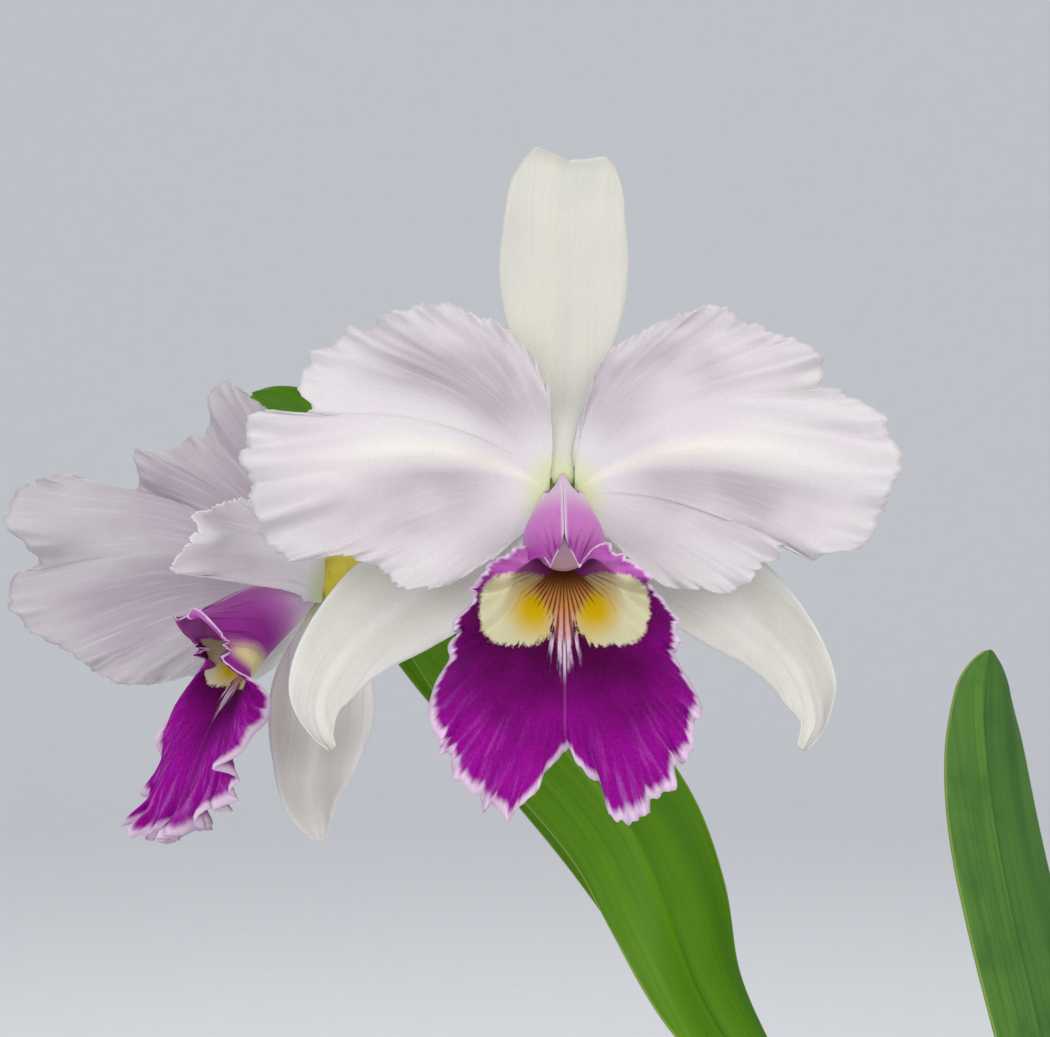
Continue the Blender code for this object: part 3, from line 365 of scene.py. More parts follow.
# How far the pot's corners are rounded and in how many steps, and how many facets go round it,
# its drain holes and the studio floor, and how many steps that floor's sweep has.
POT_ROUNDING = 1.6
ROUNDING_STEPS = 4
POT_TURNS = 128
DRAIN_TURNS = 32
FLOOR_TURNS = 96
SWEEP_STEPS = 12

# The roots' routes, as they are in the frame, with heights above the middle of the rhizome.
ON_RIM = POT_RIM_RADIUS - 1
OVER_RIM = POT_RIM_RADIUS + ROOT_RADIUS + 0.7
RIM_RISE = POT_HEIGHT - RHIZOME_Z
CREST = RIM_RISE + ROOT_OVER_RIM
ROOT_ROUTES = [
    [(-40, 10, 0), (-44, -6, 1), (-40, -22, -1), (-34, -34, -9)],
    [(-15, 16, 0), (-21, 27, 1), (-31, 33, -1), (-34, 34, -9)],
    [(6, -5, 0), (0, -20, 1), (-10, -34, 0), (-12, -46, -9)],
    [(18, 42, 0), (4, 44, 1), (-8, 47, -2), (-14, 46, -9)],
    [(-12, 14, 0), (-14, 0, 1), (-20, -12, -1), (-22, -20, -9)],
    [(33, -20, 0), (31, -34, 3), (31, -44, RIM_RISE + 1), (30, -52, RIM_RISE + 3),
     (0.5 * ON_RIM, -0.866 * ON_RIM, CREST), (0.5 * OVER_RIM, -0.866 * OVER_RIM, RIM_RISE - 2),
     (0.47 * OVER_RIM, -0.883 * OVER_RIM, RIM_RISE - 18),
     (0.40 * OVER_RIM, -0.917 * OVER_RIM, RIM_RISE - 40)],
    [(41, -1, 0), (47, 5, 4), (51.5, 10, RIM_RISE + 1.2), (57.5, 12, RIM_RISE + 3),
     (0.978 * ON_RIM, 0.208 * ON_RIM, CREST), (0.978 * OVER_RIM, 0.208 * OVER_RIM, RIM_RISE - 2),
     (0.971 * OVER_RIM, 0.24 * OVER_RIM, RIM_RISE - 16),
     (0.955 * OVER_RIM, 0.297 * OVER_RIM, RIM_RISE - 30)],
]

# The camera stands where the photograph was taken from. Lengths of the stage are in metres.
CAMERA_PLACE = (-0.1, -0.87, 0.423)
BLOOM_HEART = Vector((-0.1, -0.05, 0.42))
BLOOM_DISTANCE = 0.8
VIEW_WIDTH = 0.2577
SENSOR = 36.0
SWEEP = 1.6
SKY_STRENGTH = 0.56

# Each light: its place, its breadth, its power in watts, its colour and what it points at.
LIGHTS = {
    "key_light": ((0.8, -1.4, 1.1), 1.2, 9.6, "#FFFAF2", BLOOM_HEART),
    "side_light": ((-1.2, -1.4, 0.8), 1.0, 7.4, "#FCFBFF", BLOOM_HEART),
    "front_light": ((-0.1, -1.9, 1.0), 1.5, 8.2, "#FFFFFF", BLOOM_HEART),
    "back_light": ((-0.4, 1.3, 1.7), 1.2, 8.0, "#FFFFFF", BLOOM_HEART),
    "backdrop_light": ((0.0, 1.6, 2.8), 2.0, 26.0, "#FFFFFF", Vector((0.0, 5.0, 0.2))),
}

RAISES = "The frame holds no solid for this piece"


class SmoothCurve:
    """A smooth curve through knots, each a parameter with a number or a vector."""

    def __init__(self, knots):
        self.where = [knot[0] for knot in knots]
        self.value = [knot[1] for knot in knots]
        steps = list(zip(self.where, self.where[1:], self.value, self.value[1:]))
        rises = [(v1 - v0) / (x1 - x0) for x0, x1, v0, v1 in steps]
        inner = [(a + b) / 2 for a, b in zip(rises, rises[1:])]
        self.slope = [rises[0]] + inner + [rises[-1]]

    def at(self, x):
        """Value at x, by a cubic between the two knots on each side of it."""
        i = min(max(bisect_right(self.where, x) - 1, 0), len(self.where) - 2)
        span = self.where[i + 1] - self.where[i]
        f = min(max((x - self.where[i]) / span, 0.0), 1.0)
        start = self.value[i] * (2 * f**3 - 3 * f**2 + 1) + self.slope[i] * (span * (f**3 - 2 * f**2 + f))
        end = self.value[i + 1] * (3 * f**2 - 2 * f**3) + self.slope[i + 1] * (span * (f**3 - f**2))
        return start + end


def curve_through(points, first=0.0, last=1.0):
    """Smooth curve through 3-D points, its parameter in step with the length between them."""
    vectors = [Vector(point) for point in points]
    reach = [0.0]
    for a, b in zip(vectors, vectors[1:]):
        reach.append(reach[-1] + (b - a).length)
    return SmoothCurve([(first + (last - first) * r / reach[-1], v) for r, v in zip(reach, vectors)])


def smoothstep(low, high, x):
    """0 below low, 1 above high, and an easy rise between."""
    f = min(max((x - low) / (high - low), 0.0), 1.0)
    return f * f * (3 - 2 * f)


def bell(x, middle, breadth):
    """1 at the middle, and a smooth fall to nothing over about two breadths on both sides."""
    return math.exp(-((x - middle) / breadth) ** 2)


def grain(x, y, z):
    """Smooth noise between about -1 and 1."""
    return noise.noise(Vector((x, y, z)))


def polar(radius, angle, z=0.0):
    """Point at a radius and an angle round the z axis."""
    return Vector((radius * math.cos(angle), radius * math.sin(angle), z))


def run_length(points):
    """Length of the straight line through points."""
    return sum((Vector(b) - Vector(a)).length for a, b in zip(points, points[1:]))


def pot_radius(z):
    """Radius of the pot's outer wall at a height, below its rim band."""
    return POT_BASE_RADIUS + POT_SLOPE * z


def crowd(w):
    """Place along a blade, with its rows drawn together towards the rounded tip."""
    return 1 - (1 - w) ** 1.5


class Strip:
    """A strap-shaped blade: a spine, half widths along it, and a face carried along the spine."""

    def __init__(self, spine, widths, face, turn, samples=48):
        self.spine = curve_through(spine)
        self.width = SmoothCurve(widths)
        self.turn = SmoothCurve(turn)
        self.samples = samples
        self.faces = []
        carried = Vector(face)
        for i in range(samples + 1):
            tangent = self.tangent(i / samples)
            carried = (carried - tangent * carried.dot(tangent)).normalized()
            self.faces.append(carried.copy())

    def tangent(self, w):
        """Direction of the spine at w."""
        step = 0.5 / self.samples
        return (self.spine.at(min(w + step, 1)) - self.spine.at(max(w - step, 0))).normalized()

    def frame(self, w):
        """Across and face directions at w, turned about the spine."""
        i = min(int(w * self.samples), self.samples - 1)
        tangent = self.tangent(w)
        face = self.faces[i].lerp(self.faces[i + 1], w * self.samples - i)
        face = (face - tangent * face.dot(tangent)).normalized()
        face = Matrix.Rotation(math.radians(self.turn.at(w)), 3, tangent) @ face
        return tangent.cross(face), face

    def point(self, u, w, lift):
        """Point at u across and w along, with lift towards the face."""
        across, face = self.frame(w)
        return self.spine.at(w) + across * (u * self.width.at(w)) + face * lift


def leaf_point(strip, u, w):
    """A leaf folds along its groove, most at its foot and least at its tip."""
    fold = math.radians(LEAF_FOLD + 22 * (1 - smoothstep(0.0, 0.3, w)) - 8 * w)
    near_tip = max(0.0, (w - 0.95) / 0.05)
    half = strip.width.at(w) * abs(u) * max(0.05, math.sqrt(max(0.0, 1 - near_tip * near_tip)))
    across, face = strip.frame(w)
    side = math.copysign(1.0, u)
    rounding = 0.25 * half * abs(u)
    return strip.spine.at(w) + across * (side * half * math.cos(fold)) + face * (
        half * math.sin(fold) - rounding)


def hex_colour(code):
    """An sRGB hex code as a linear colour with full alpha."""
    shares = [int(code[i:i + 2], 16) / 255 for i in (1, 3, 5)]
    linear = [c / 12.92 if c <= 0.04045 else ((c + 0.055) / 1.055) ** 2.4 for c in shares]
    return (*linear, 1.0)


def tint(name, code, description):
    """A colour that a user can change."""
    return FloatVectorProperty(name=name, description=description, default=hex_colour(code), size=4,
                               min=0.0, max=1.0, subtype="COLOR")


def length(name, default, description):
    """A length that a user can change, given in millimetres and kept in metres."""
    return FloatProperty(name=name, description=description, default=default * MM, min=0.0,
                         unit="LENGTH", precision=4)


class OrchidSizes(bpy.types.PropertyGroup):
    """Sizes of the fine blades and of the filling"""
    petal_thickness: length("Petal thickness", 0.5, "Thickness of petals, sepals and lips")
    leaf_thickness: length("Leaf thickness", 1.8, "Thickness of the leathery leaves")
    husk_thickness: length("Husk thickness", 0.4, "Thickness of the dry husks and the sheath")
    margin_crisp: length("Margin crisp", 1.5, "Height of the fine crimps along a petal's margin")
    lip_crisp: length("Lip crisp", 5.0, "Height of the fine frills along the lip's margin")
    margin_nicks: length("Margin nicks", 1.4, "Depth of the small nicks in a petal's outline")
    chunk_length: length("Bark chunk length", 13.0, "Length of a usual chunk of bark")
    chunk_count: IntProperty(name="Bark chunks", description="Chunks that lie on the filling",
                             default=230, min=0, max=400)
    floor_radius: length("Floor radius", 3600.0, "Radius of the flat floor before it sweeps up")


class OrchidColours(bpy.types.PropertyGroup):
    """Colours of the living tissue, the bark and the clay"""
    petal_white: tint("Petal white", "#DCD7D9", "Petals and sepals between their veins")
    petal_shade: tint("Petal lavender", "#DCD1D8", "The faint lavender flush of petals")
    petal_vein: tint("Petal vein", "#D5CED3", "The fine veins that fan out in a petal")
    # Petal grey is painted shade, laid above the midrib and in the hollow below it.
    petal_painted_shade: tint("Petal grey", "#B4ABB1", "The thinnest tissue above and below the midrib")
    # Older white and older lavender are darker copies of the petal tints: painted shade on the older bloom's
    # left petal.
    older_white_painted_shade: tint("Older white", "#C2BCC0", "Petals of the older bloom")
    older_flush_painted_shade: tint("Older lavender", "#B4A9B2", "The flush on petals of the older bloom")
    # The near petal's tints are lighter copies: painted light on that petal, which lies in shade.
    near_white_painted_light: tint("Near petal white", "#FAF0F5", "The near petal of the older bloom")
    near_flush_painted_light: tint("Near petal lavender", "#E9D9E3", "The flush on the near petal of the older bloom")
    sepal_white: tint("Sepal white", "#E2E1DB", "Lateral sepals between their veins")
    # The upright sepal white is a darker copy of the sepal white: painted shade, not a greyer tissue.
    upright_white_painted_shade: tint("Upright sepal white", "#CFCEC5", "The upright sepals, which are a little greyer")
    # The older bloom's sepal white is a lighter copy of the sepal white: painted light on sepals that lie in
    # shade.
    older_sepal_painted_light: tint("Older sepal white", "#F4F2EE", "The sepals of the older bloom")
    # Sepal shade is the sepals' flush, and it is also laid as painted shade to either side of a sepal's
    # midline.
    sepal_shade: tint("Sepal shade", "#D6D4C8", "The faint green-white flush of sepals")
    sepal_vein: tint("Sepal vein", "#CAC9BD", "The lengthwise veins of sepals")
    # Midrib cream: a real cream tone made brighter than the petal white, as a painted highlight on the ridge.
    rib_cream_and_highlight: tint("Midrib cream", "#F0EAE0", "The petal's midrib")
    claw_green: tint("Claw green", "#D6DEA6", "The foot of petals and sepals")
    lip_deep: tint("Lip deep purple", "#4C003E", "The lip's lobe next to the throat")
    lip_bright: tint("Lip bright purple", "#94068F", "The lip's lobe farther out")
    lip_streak: tint("Lip streak", "#BC68C2", "The pale streaks towards the lip's margin")
    lip_edge: tint("Lip edge", "#E3CBE2", "The lip's frilled edge")
    eye_cream: tint("Eye cream", "#CCC6A3", "The two pale eyes beside the throat")
    eye_yellow: tint("Eye yellow", "#D0AD04", "The yellow heart of each eye")
    throat_peach: tint("Throat peach", "#CF9550", "The throat between its lines")
    throat_pink: tint("Throat pink", "#D9A0A4", "The throat's lower end between its lines")
    # Throat line is the real dark lines, and it also paints the shade at the top of the throat.
    throat_line_and_shade: tint("Throat line", "#6A2E14", "The dark lines in the throat")
    hood_mauve: tint("Hood mauve", "#CC78C4", "The outside of the lip's hood")
    tube_cream: tint("Tube cream", "#E4D29A", "The outside of the lip's tube, below")
    column_pink: tint("Column pink", "#D9A2CC", "The column and its cap")
    # The deep and dark leaf greens also paint the shade on one half of each leaf's fold and along its groove.
    leaf_bright: tint("Bright leaf green", "#5B8C02", "The young leaf behind the larger bloom")
    leaf_deep: tint("Deep leaf green", "#3C6B05", "The shaded half of the young leaf")
    leaf_dull: tint("Dull leaf green", "#5C8A36", "The older leaves")
    leaf_dark: tint("Dark leaf green", "#38602A", "Mottling of the older leaves")
    leaf_edge: tint("Leaf edge", "#8FA94A", "The pale rim of a leaf")
    stem_green: tint("Stem green", "#7C9140", "The flower stem")
    sheath_green: tint("Sheath green", "#A3AE62", "The sheath round the foot of the flower stem")
    ovary_yellow: tint("Ovary yellow", "#F2DC48", "The stalks close behind the blooms")
    bulb_green: tint("Pseudobulb green", "#7F9148", "The skin of the pseudobulbs")
    bulb_brown: tint("Pseudobulb brown", "#8C7448", "Dry scars and grooves of the pseudobulbs")
    husk_straw: tint("Husk straw", "#CDBB90", "The papery husks")
    husk_brown: tint("Husk brown", "#8A6C42", "The veins and torn edges of the husks")
    root_silver: tint("Root silver", "#C5C1AC", "The spongy skin of the roots")
    root_tip: tint("Root tip", "#7FA03E", "The growing tips of the roots")
    bark_red: tint("Bark red-brown", "#7A4A2E", "The inner face of the bark")
    bark_dark: tint("Bark dark brown", "#3A241A", "The outer face of the bark")
    clay: tint("Clay", "#B4623F", "The fired clay")
    clay_bloom: tint("Clay bloom", "#D3A58A", "The chalky bloom that water leaves on clay")
    floor_grey: tint("Floor", "#DFE1E4", "The plain pale floor")


def add_node(tree, kind, *inputs, **settings):
    """Add a node: inputs in order are values, nodes, sockets or None, and settings go by name."""
    node = tree.nodes.new("ShaderNode" + kind)
    pairs = list(zip(node.inputs, inputs))
    for key, value in settings.items():
        if key in node.inputs:
            pairs.append((node.inputs[key], value))
        else:
            setattr(node, key, value)
    for socket, value in pairs:
        if isinstance(value, bpy.types.Node):
            value = value.outputs[0]
        if isinstance(value, bpy.types.NodeSocket):
            tree.links.new(value, socket)
        elif value is not None:
            socket.default_value = value
    return node


def new_finish(name, roughness, constants):
    """A material with constants on its Principled shader, and the function that adds to its nodes."""
    material = bpy.data.materials.new(name)
    material.use_nodes = True
    shader = material.node_tree.nodes["Principled BSDF"]
    for socket, value in {"Roughness": roughness, **constants}.items():
        shader.inputs[socket].default_value = value
    return material, partial(add_node, material.node_tree)


def coordinates(add):
    """A piece's own pattern coordinates, its object coordinates, and the first split in three."""
    form = add("Attribute", attribute_name="form").outputs["Vector"]
    return form, add("TexCoord").outputs["Object"], add("SeparateXYZ", form).outputs


def dress(material, add, colour, layers, height, depth, shading=None):
    """Lay layers over a colour, each a share and a colour, and give a relief in millimetres.

    Where there is a shading, it darkens or brightens the result before it goes to the shader.
    """
    for share, over in layers:
        colour = add("MixRGB", share, colour, over)
    if shading is not None:
        colour = add("MixRGB", 1.0, colour, shading, blend_type="MULTIPLY")
    relief = add("Bump", Strength=1.0, Distance=depth * MM, Height=height)
    tree = material.node_tree
    shader = tree.nodes["Principled BSDF"]
    tree.links.new(colour.outputs[0], shader.inputs["Base Color"])
    tree.links.new(relief.outputs[0], shader.inputs["Normal"])
    return material


SMOOTH = {"interpolation_type": "SMOOTHSTEP"}
MULTIPLY = {"operation": "MULTIPLY"}
PLUS = {"operation": "ADD"}
MINUS = {"operation": "SUBTRACT"}


def petal_tissue(name, across, along, rib, tints):
    """Living petal tissue: waxy and faintly translucent, so light sinks in and edges stay bright.

    Its veins fan out about 1.3 mm apart. The skin's cells are 0.1 mm domes that sparkle; they are
    drawn as coarse as 0.5 mm, so that they show. across and along scale the vein pattern; rib is
    the place and half breadth of the cream midrib, painted brighter as a highlight on its ridge.
    tints: white, flush, vein, rib with its painted highlight, claw, and the painted shade.
    """
    white, flush_tint, vein_tint, rib_and_highlight_tint, claw_tint, painted_shade_tint = tints
    material, add = new_finish(name, 0.5, {"IOR": 1.42, "Subsurface Weight": 0.22, "Subsurface Scale": 0.0016,
                                           "Subsurface Radius": (1.0, 0.85, 0.95),
                                           "Specular IOR Level": 0.35})
    form, place, (angle, far, out) = coordinates(add)
    off_rib = add("Math", angle, rib[0], **MINUS)
    beside = add("Math", off_rib, operation="ABSOLUTE")
    veins = add("TexNoise", add("VectorMath", form, (across, along, 0.0), **MULTIPLY), None, 1.0, 2.5)
    broad = add("TexNoise", add("VectorMath", form, (across / 5, along, 0.4), **MULTIPLY), None, 1.0, 1.0)
    cloud = add("TexNoise", place, None, 34.0, 2.0)
    cells = add("TexVoronoi", place, None, 1900.0)

    # The mask thin is painted shade: the tissue is painted greyer above the midrib and in the hollow below
    # it.
    above = add("MapRange", off_rib, 2.0 * rib[1], 4.5 * rib[1], **SMOOTH)
    below = add("MapRange", off_rib, -0.5 * rib[1], -1.3 * rib[1], 0.0, 0.75, **SMOOTH)
    below = add("Math", below, add("MapRange", off_rib, -2.5 * rib[1], -4.8 * rib[1], 1.0, 0.0, **SMOOTH),
                **MULTIPLY)
    thin = add("Math", above, below, **PLUS)
    thin = add("Math", thin, add("MapRange", far, 8.0, 26.0, **SMOOTH), **MULTIPLY)
    thin = add("Math", thin, add("MapRange", out, 0.62, 0.97, 1.0, 0.25, **SMOOTH), **MULTIPLY)
    colour = add("MixRGB", thin, white, painted_shade_tint)
    flush = add("Math", add("MapRange", cloud, 0.42, 0.66, 0.0, 0.8, **SMOOTH),
                add("MapRange", far, 8.0, 34.0, **SMOOTH), **MULTIPLY)
    flush = add("Math", flush, add("MapRange", out, 0.80, 0.98, 1.0, 0.1, **SMOOTH), **MULTIPLY)
    line = add("MapRange", veins, 0.50, 0.74, 0.0, 0.5, **SMOOTH)
    band = add("MapRange", broad, 0.45, 0.75, 0.0, 0.22, **SMOOTH)
    # The cream midrib is painted lighter than the petal's white: its cream is real, its extra brightness a
    # painted highlight on the ridge.
    rib_and_highlight = add("Math", add("MapRange", beside, 0.0, 1.3 * rib[1], 0.7, 0.0, **SMOOTH),
                 add("MapRange", far, 34.0, 72.0, 1.0, 0.0, **SMOOTH), **MULTIPLY)
    claw = add("MapRange", far, 1.0, 10.0, 0.85, 0.0, **SMOOTH)
    sparkle = add("MapRange", cells, 0.0, 0.8, 1.02, 0.95)
    relief = add("Math", veins, add("Math", cells, 0.35, **MULTIPLY), **PLUS)
    return dress(material, add, colour, [
        (flush, flush_tint), (line, vein_tint), (band, flush_tint), (rib_and_highlight, rib_and_highlight_tint), (claw, claw_tint),
    ], relief, 0.07, sparkle)


def lip_face(colours):
    """The lip's velvety face: tiny upright cells drink light, so the purple is deep and matte.

    Its pattern coordinates are the place seen from the front, in millimetres from the middle of
    the mouth, and the share of the way from foot to rim.
    """
    material, add = new_finish("orchid lip, velvety living tissue", 0.75,
                               {"IOR": 1.35, "Specular IOR Level": 0.12})
    place, (x, z, out) = coordinates(add)[1:]
    side = add("Math", x, operation="ABSOLUTE")
    down = add("Math", z, -1.0, **MULTIPLY)
    flat = add("CombineXYZ", side, z, 0.0)
    radius = add("VectorMath", add("CombineXYZ", x, z, 0.0), operation="LENGTH").outputs["Value"]
    angle = add("Math", x, down, operation="ARCTAN2")
    rough = add("Math", add("TexNoise", place, None, 900.0, 3.0), 0.5, **MINUS)
    wander = add("TexNoise", place, None, 60.0, 2.0)
    rays = add("TexNoise", add("CombineXYZ", add("Math", angle, 30.0, **MULTIPLY),
                               add("Math", radius, 0.07, **MULTIPLY), 0.0), None, 1.0, 3.0)
    # The cells below are painted a little brighter or darker, a painted sparkle of the velvety face; they
    # also roughen the relief.
    cell_sparkle = add("TexVoronoi", place, None, 1500.0)

    # The purple brightens outwards, and fine pale streaks fan out over the outer third. Towards the top of
    # the face the purple is also painted bright, as painted light in the shade under the hood.
    reach = add("MapRange", add("Math", radius, add("Math", wander, 26.0, **MULTIPLY), **PLUS), 26.0, 58.0,
                **SMOOTH)
    reach = add("Math", reach, add("MapRange", z, -1.5, 3.5, **SMOOTH), operation="MAXIMUM")
    colour = add("MixRGB", reach, colours.lip_deep, colours.lip_bright)
    streak = add("Math", add("MapRange", rays, 0.46, 0.74, 0.0, 0.55, **SMOOTH),
                 add("MapRange", radius, 26.0, 54.0, **SMOOTH), **MULTIPLY)
    colour = add("MixRGB", streak, colour, colours.lip_streak)
    colour = add("MixRGB", 1.0, colour, add("MapRange", cell_sparkle, 0.0, 0.7, 1.25, 0.84), blend_type="MULTIPLY")
    # The top of the face is mauve; it is laid on lower and stronger than the real mauve, as painted light in
    # the shade under the hood.
    high = add("MapRange", z, 2.0, 7.0, 0.0, 0.8, **SMOOTH)
    high = add("Math", high, add("MapRange", wander, 0.35, 0.6, 0.55, 1.0), **MULTIPLY)

    # Two cream eyes with yellow hearts stand beside the throat.
    fan = add("Math", x, add("Math", down, 7.0, **PLUS), operation="ARCTAN2")
    beside = add("Math", fan, operation="ABSOLUTE")
    feather = add("TexNoise", add("CombineXYZ", add("Math", fan, 26.0, **MULTIPLY),
                                  add("Math", down, 0.22, **MULTIPLY), 0.0), None, 1.0, 3.0)
    feather = add("Math", feather, 0.5, **MINUS)
    eye = add("VectorMath", add("VectorMath", flat, (11.2, -3.7, 0.0), **MINUS), (1 / 9.2, 1 / 8.8, 0.0),
              **MULTIPLY)
    eye = add("VectorMath", eye, operation="ABSOLUTE")
    eye = add("SeparateXYZ", eye)
    eye = add("Math", add("Math", eye.outputs["X"], 2.8, operation="POWER"),
              add("Math", eye.outputs["Y"], 2.8, operation="POWER"), **PLUS)
    eye = add("Math", eye, 1 / 2.8, operation="POWER")
    ragged = add("Math", add("Math", rough, 0.22, **MULTIPLY),
                 add("Math", feather, add("MapRange", beside, 0.75, 0.3, 0.1, 0.7), **MULTIPLY), **PLUS)
    eye = add("Math", eye, ragged, **PLUS)
    heart = add("VectorMath", add("VectorMath", flat, (7.2, -3.8, 0.0), **MINUS), (1 / 7.2, 1 / 8.0, 0.0),
                **MULTIPLY)
    heart = add("VectorMath", heart, operation="LENGTH").outputs["Value"]
    within = add("MapRange", eye, 0.88, 1.0, 1.0, 0.0, **SMOOTH)
    yellow = add("Math", add("MapRange", heart, 0.2, 1.2, 1.0, 0.0, **SMOOTH), within, **MULTIPLY)
    low = add("Math", add("MapRange", side, 4.0, 10.0, 0.55, 0.0, **SMOOTH), within, **MULTIPLY)
    yellow = add("Math", yellow, low, operation="MAXIMUM")

    # The throat between them is peach with dark lines that fan out and end as pale feathers.
    lines = add("Math", add("Math", add("Math", fan, 58.0, **MULTIPLY), operation="COSINE"),
                add("Math", feather, 2.4, **MULTIPLY), **PLUS)
    wide = add("MapRange", down, -2.5, 7.5, 8.6, 2.3, **SMOOTH)
    share = add("Math", side, wide, operation="DIVIDE")
    inside = add("MapRange", add("Math", share, add("Math", feather, 0.5, **MULTIPLY), **PLUS), 0.70, 1.10,
                 1.0, 0.0, **SMOOTH)
    upper = add("MapRange", add("Math", down, add("Math", rough, 4.0, **MULTIPLY), **PLUS), 9.0, 14.0, 1.0,
                0.0, **SMOOTH)
    roof = add("Math", add("Math", side, 0.8, **MULTIPLY), z, **PLUS)
    upper = add("Math", upper, add("MapRange", roof, 6.6, 8.0, 1.0, 0.0, **SMOOTH), **MULTIPLY)
    ground = add("MixRGB", add("MapRange", down, 3.0, 10.0, **SMOOTH), colours.throat_peach,
                 colours.throat_pink)
    # The top of the throat is painted dark in the line colour: painted shade inside the tube.
    ground = add("MixRGB", add("MapRange", down, -4.0, 1.5, 0.75, 0.0, **SMOOTH), ground, colours.throat_line_and_shade)
    throat = add("MixRGB", add("MapRange", lines, 0.0, 0.8, 0.0, 0.85, **SMOOTH), ground, colours.throat_line_and_shade)
    stray = add("Math", add("MapRange", lines, 0.5, 1.1, 0.0, 0.8, **SMOOTH),
                add("MapRange", share, 1.7, 1.0, **SMOOTH), **MULTIPLY)
    stray = add("Math", stray, add("MapRange", down, 7.5, 4.0, **SMOOTH), **MULTIPLY)
    stray = add("Math", stray, within, **MULTIPLY)
    tails = add("Math", add("MapRange", lines, 0.2, -0.7, 0.0, 0.85, **SMOOTH),
                add("MapRange", beside, 0.14, 0.26, 1.0, 0.0, **SMOOTH), **MULTIPLY)
    tails = add("Math", tails, add("MapRange", down, 9.0, 12.0, **SMOOTH), **MULTIPLY)
    end = add("Math", add("Math", down, add("Math", beside, 22.0, **MULTIPLY), **PLUS),
              add("Math", feather, 10.0, **MULTIPLY), **PLUS)
    tails = add("Math", tails, add("MapRange", end, 14.5, 20.5, 1.0, 0.0, **SMOOTH), **MULTIPLY)
    seam = add("Math", add("MapRange", side, 0.1, 0.5, 1.0, 0.0, **SMOOTH),
               add("MapRange", down, 16.0, 22.0, 0.85, 0.05, **SMOOTH), **MULTIPLY)
    seam = add("Math", seam, add("MapRange", down, 10.0, 13.0, **SMOOTH), **MULTIPLY)

    # The frilled edge is pale.
    fringe = add("Math", out, add("Math", add("Math", rays, 0.5, **MINUS), 0.06, **MULTIPLY), **PLUS)
    fringe = add("MapRange", fringe, 0.962, 0.988, 0.0, 0.92, **SMOOTH)
    relief = add("Math", rays, add("Math", cell_sparkle, 0.3, **MULTIPLY), **PLUS)
    return dress(material, add, colour, [
        (high, colours.hood_mauve), (add("MapRange", eye, 0.90, 1.02, 1.0, 0.0, **SMOOTH), colours.eye_cream),
        (yellow, colours.eye_yellow), (add("Math", inside, upper, **MULTIPLY), throat),
        (stray, colours.throat_line_and_shade), (tails, colours.lip_edge), (seam, colours.lip_edge),
        (fringe, colours.lip_edge),
    ], relief, 0.14)


def lip_back(colours, name, purple_from, purple_at):
    """The lip's outside: smoother than its face, mauve on the hood and cream below the tube.

    The hood's flanks turn purple between two shares of the way from foot to rim.
    """
    material, add = new_finish(name, 0.5, {"IOR": 1.42, "Subsurface Weight": 0.12, "Subsurface Scale": 0.001})
    place, (x, z, out) = coordinates(add)[1:]
    angle = add("Math", x, add("Math", z, -1.0, **MULTIPLY), operation="ARCTAN2")
    turn = add("Math", angle, operation="ABSOLUTE")
    veins = add("TexNoise", add("CombineXYZ", add("Math", angle, 15.0, **MULTIPLY),
                                add("Math", out, 2.4, **MULTIPLY), 0.0), None, 1.0, 3.0)
    # The cells below are painted a little brighter or darker, as a painted sparkle.
    cell_sparkle = add("TexVoronoi", place, None, 1500.0)
    above = add("MapRange", turn, 1.4, 1.95, **SMOOTH)
    early = add("MapRange", turn, 0.8, 1.4, 0.0, -0.28, **SMOOTH)
    low = add("MixRGB", add("MapRange", add("Math", out, early, **PLUS), 0.34, 0.62, **SMOOTH),
              colours.tube_cream, colours.lip_bright)
    top = add("MixRGB", add("MapRange", out, 0.05, 0.30, **SMOOTH), colours.lip_edge, colours.hood_mauve)
    flank = add("MapRange", turn, 2.9, 2.2, 0.7, 1.0, **SMOOTH)
    flank = add("Math", flank, add("MapRange", out, purple_from, purple_at, 0.0, 0.95, **SMOOTH), **MULTIPLY)
    top = add("MixRGB", flank, top, colours.lip_bright)
    near_seam = add("MapRange", add("Math", x, operation="ABSOLUTE"), 0.25, 1.0, 0.85, 0.0, **SMOOTH)
    near_seam = add("Math", near_seam, above, **MULTIPLY)
    colour = add("MixRGB", above, low, top)
    marks = add("Math", add("MapRange", veins, 0.50, 0.66, 0.0, 0.7, **SMOOTH),
                add("MapRange", out, 0.25, 0.6, **SMOOTH), **MULTIPLY)
    marks = add("Math", marks, above, **MULTIPLY)
    return dress(material, add, colour, [
        (near_seam, colours.lip_edge), (marks, colours.lip_deep),
        (add("MapRange", out, 0.95, 0.985, 0.0, 0.9, **SMOOTH), colours.lip_edge),
    ], veins, 0.25, add("MapRange", cell_sparkle, 0.0, 0.7, 1.08, 0.94))


def column_tissue(colours):
    """The column: firm and glossy tissue, pink with a paler cap."""
    material, add = new_finish("orchid column, firm living tissue", 0.34,
                               {"IOR": 1.45, "Subsurface Weight": 0.2, "Subsurface Scale": 0.0015})
    place, split = coordinates(add)[1:]
    mottle = add("TexNoise", place, None, 400.0, 3.0)
    cap = add("MapRange", split["Z"], 0.86, 0.97, 0.0, 0.75, **SMOOTH)
    colour = add("MixRGB", add("MapRange", mottle, 0.4, 0.7, 0.0, 0.5, **SMOOTH), colours.column_pink,
                 colours.hood_mauve)
    return dress(material, add, colour, [(cap, colours.lip_edge)], mottle, 0.2)


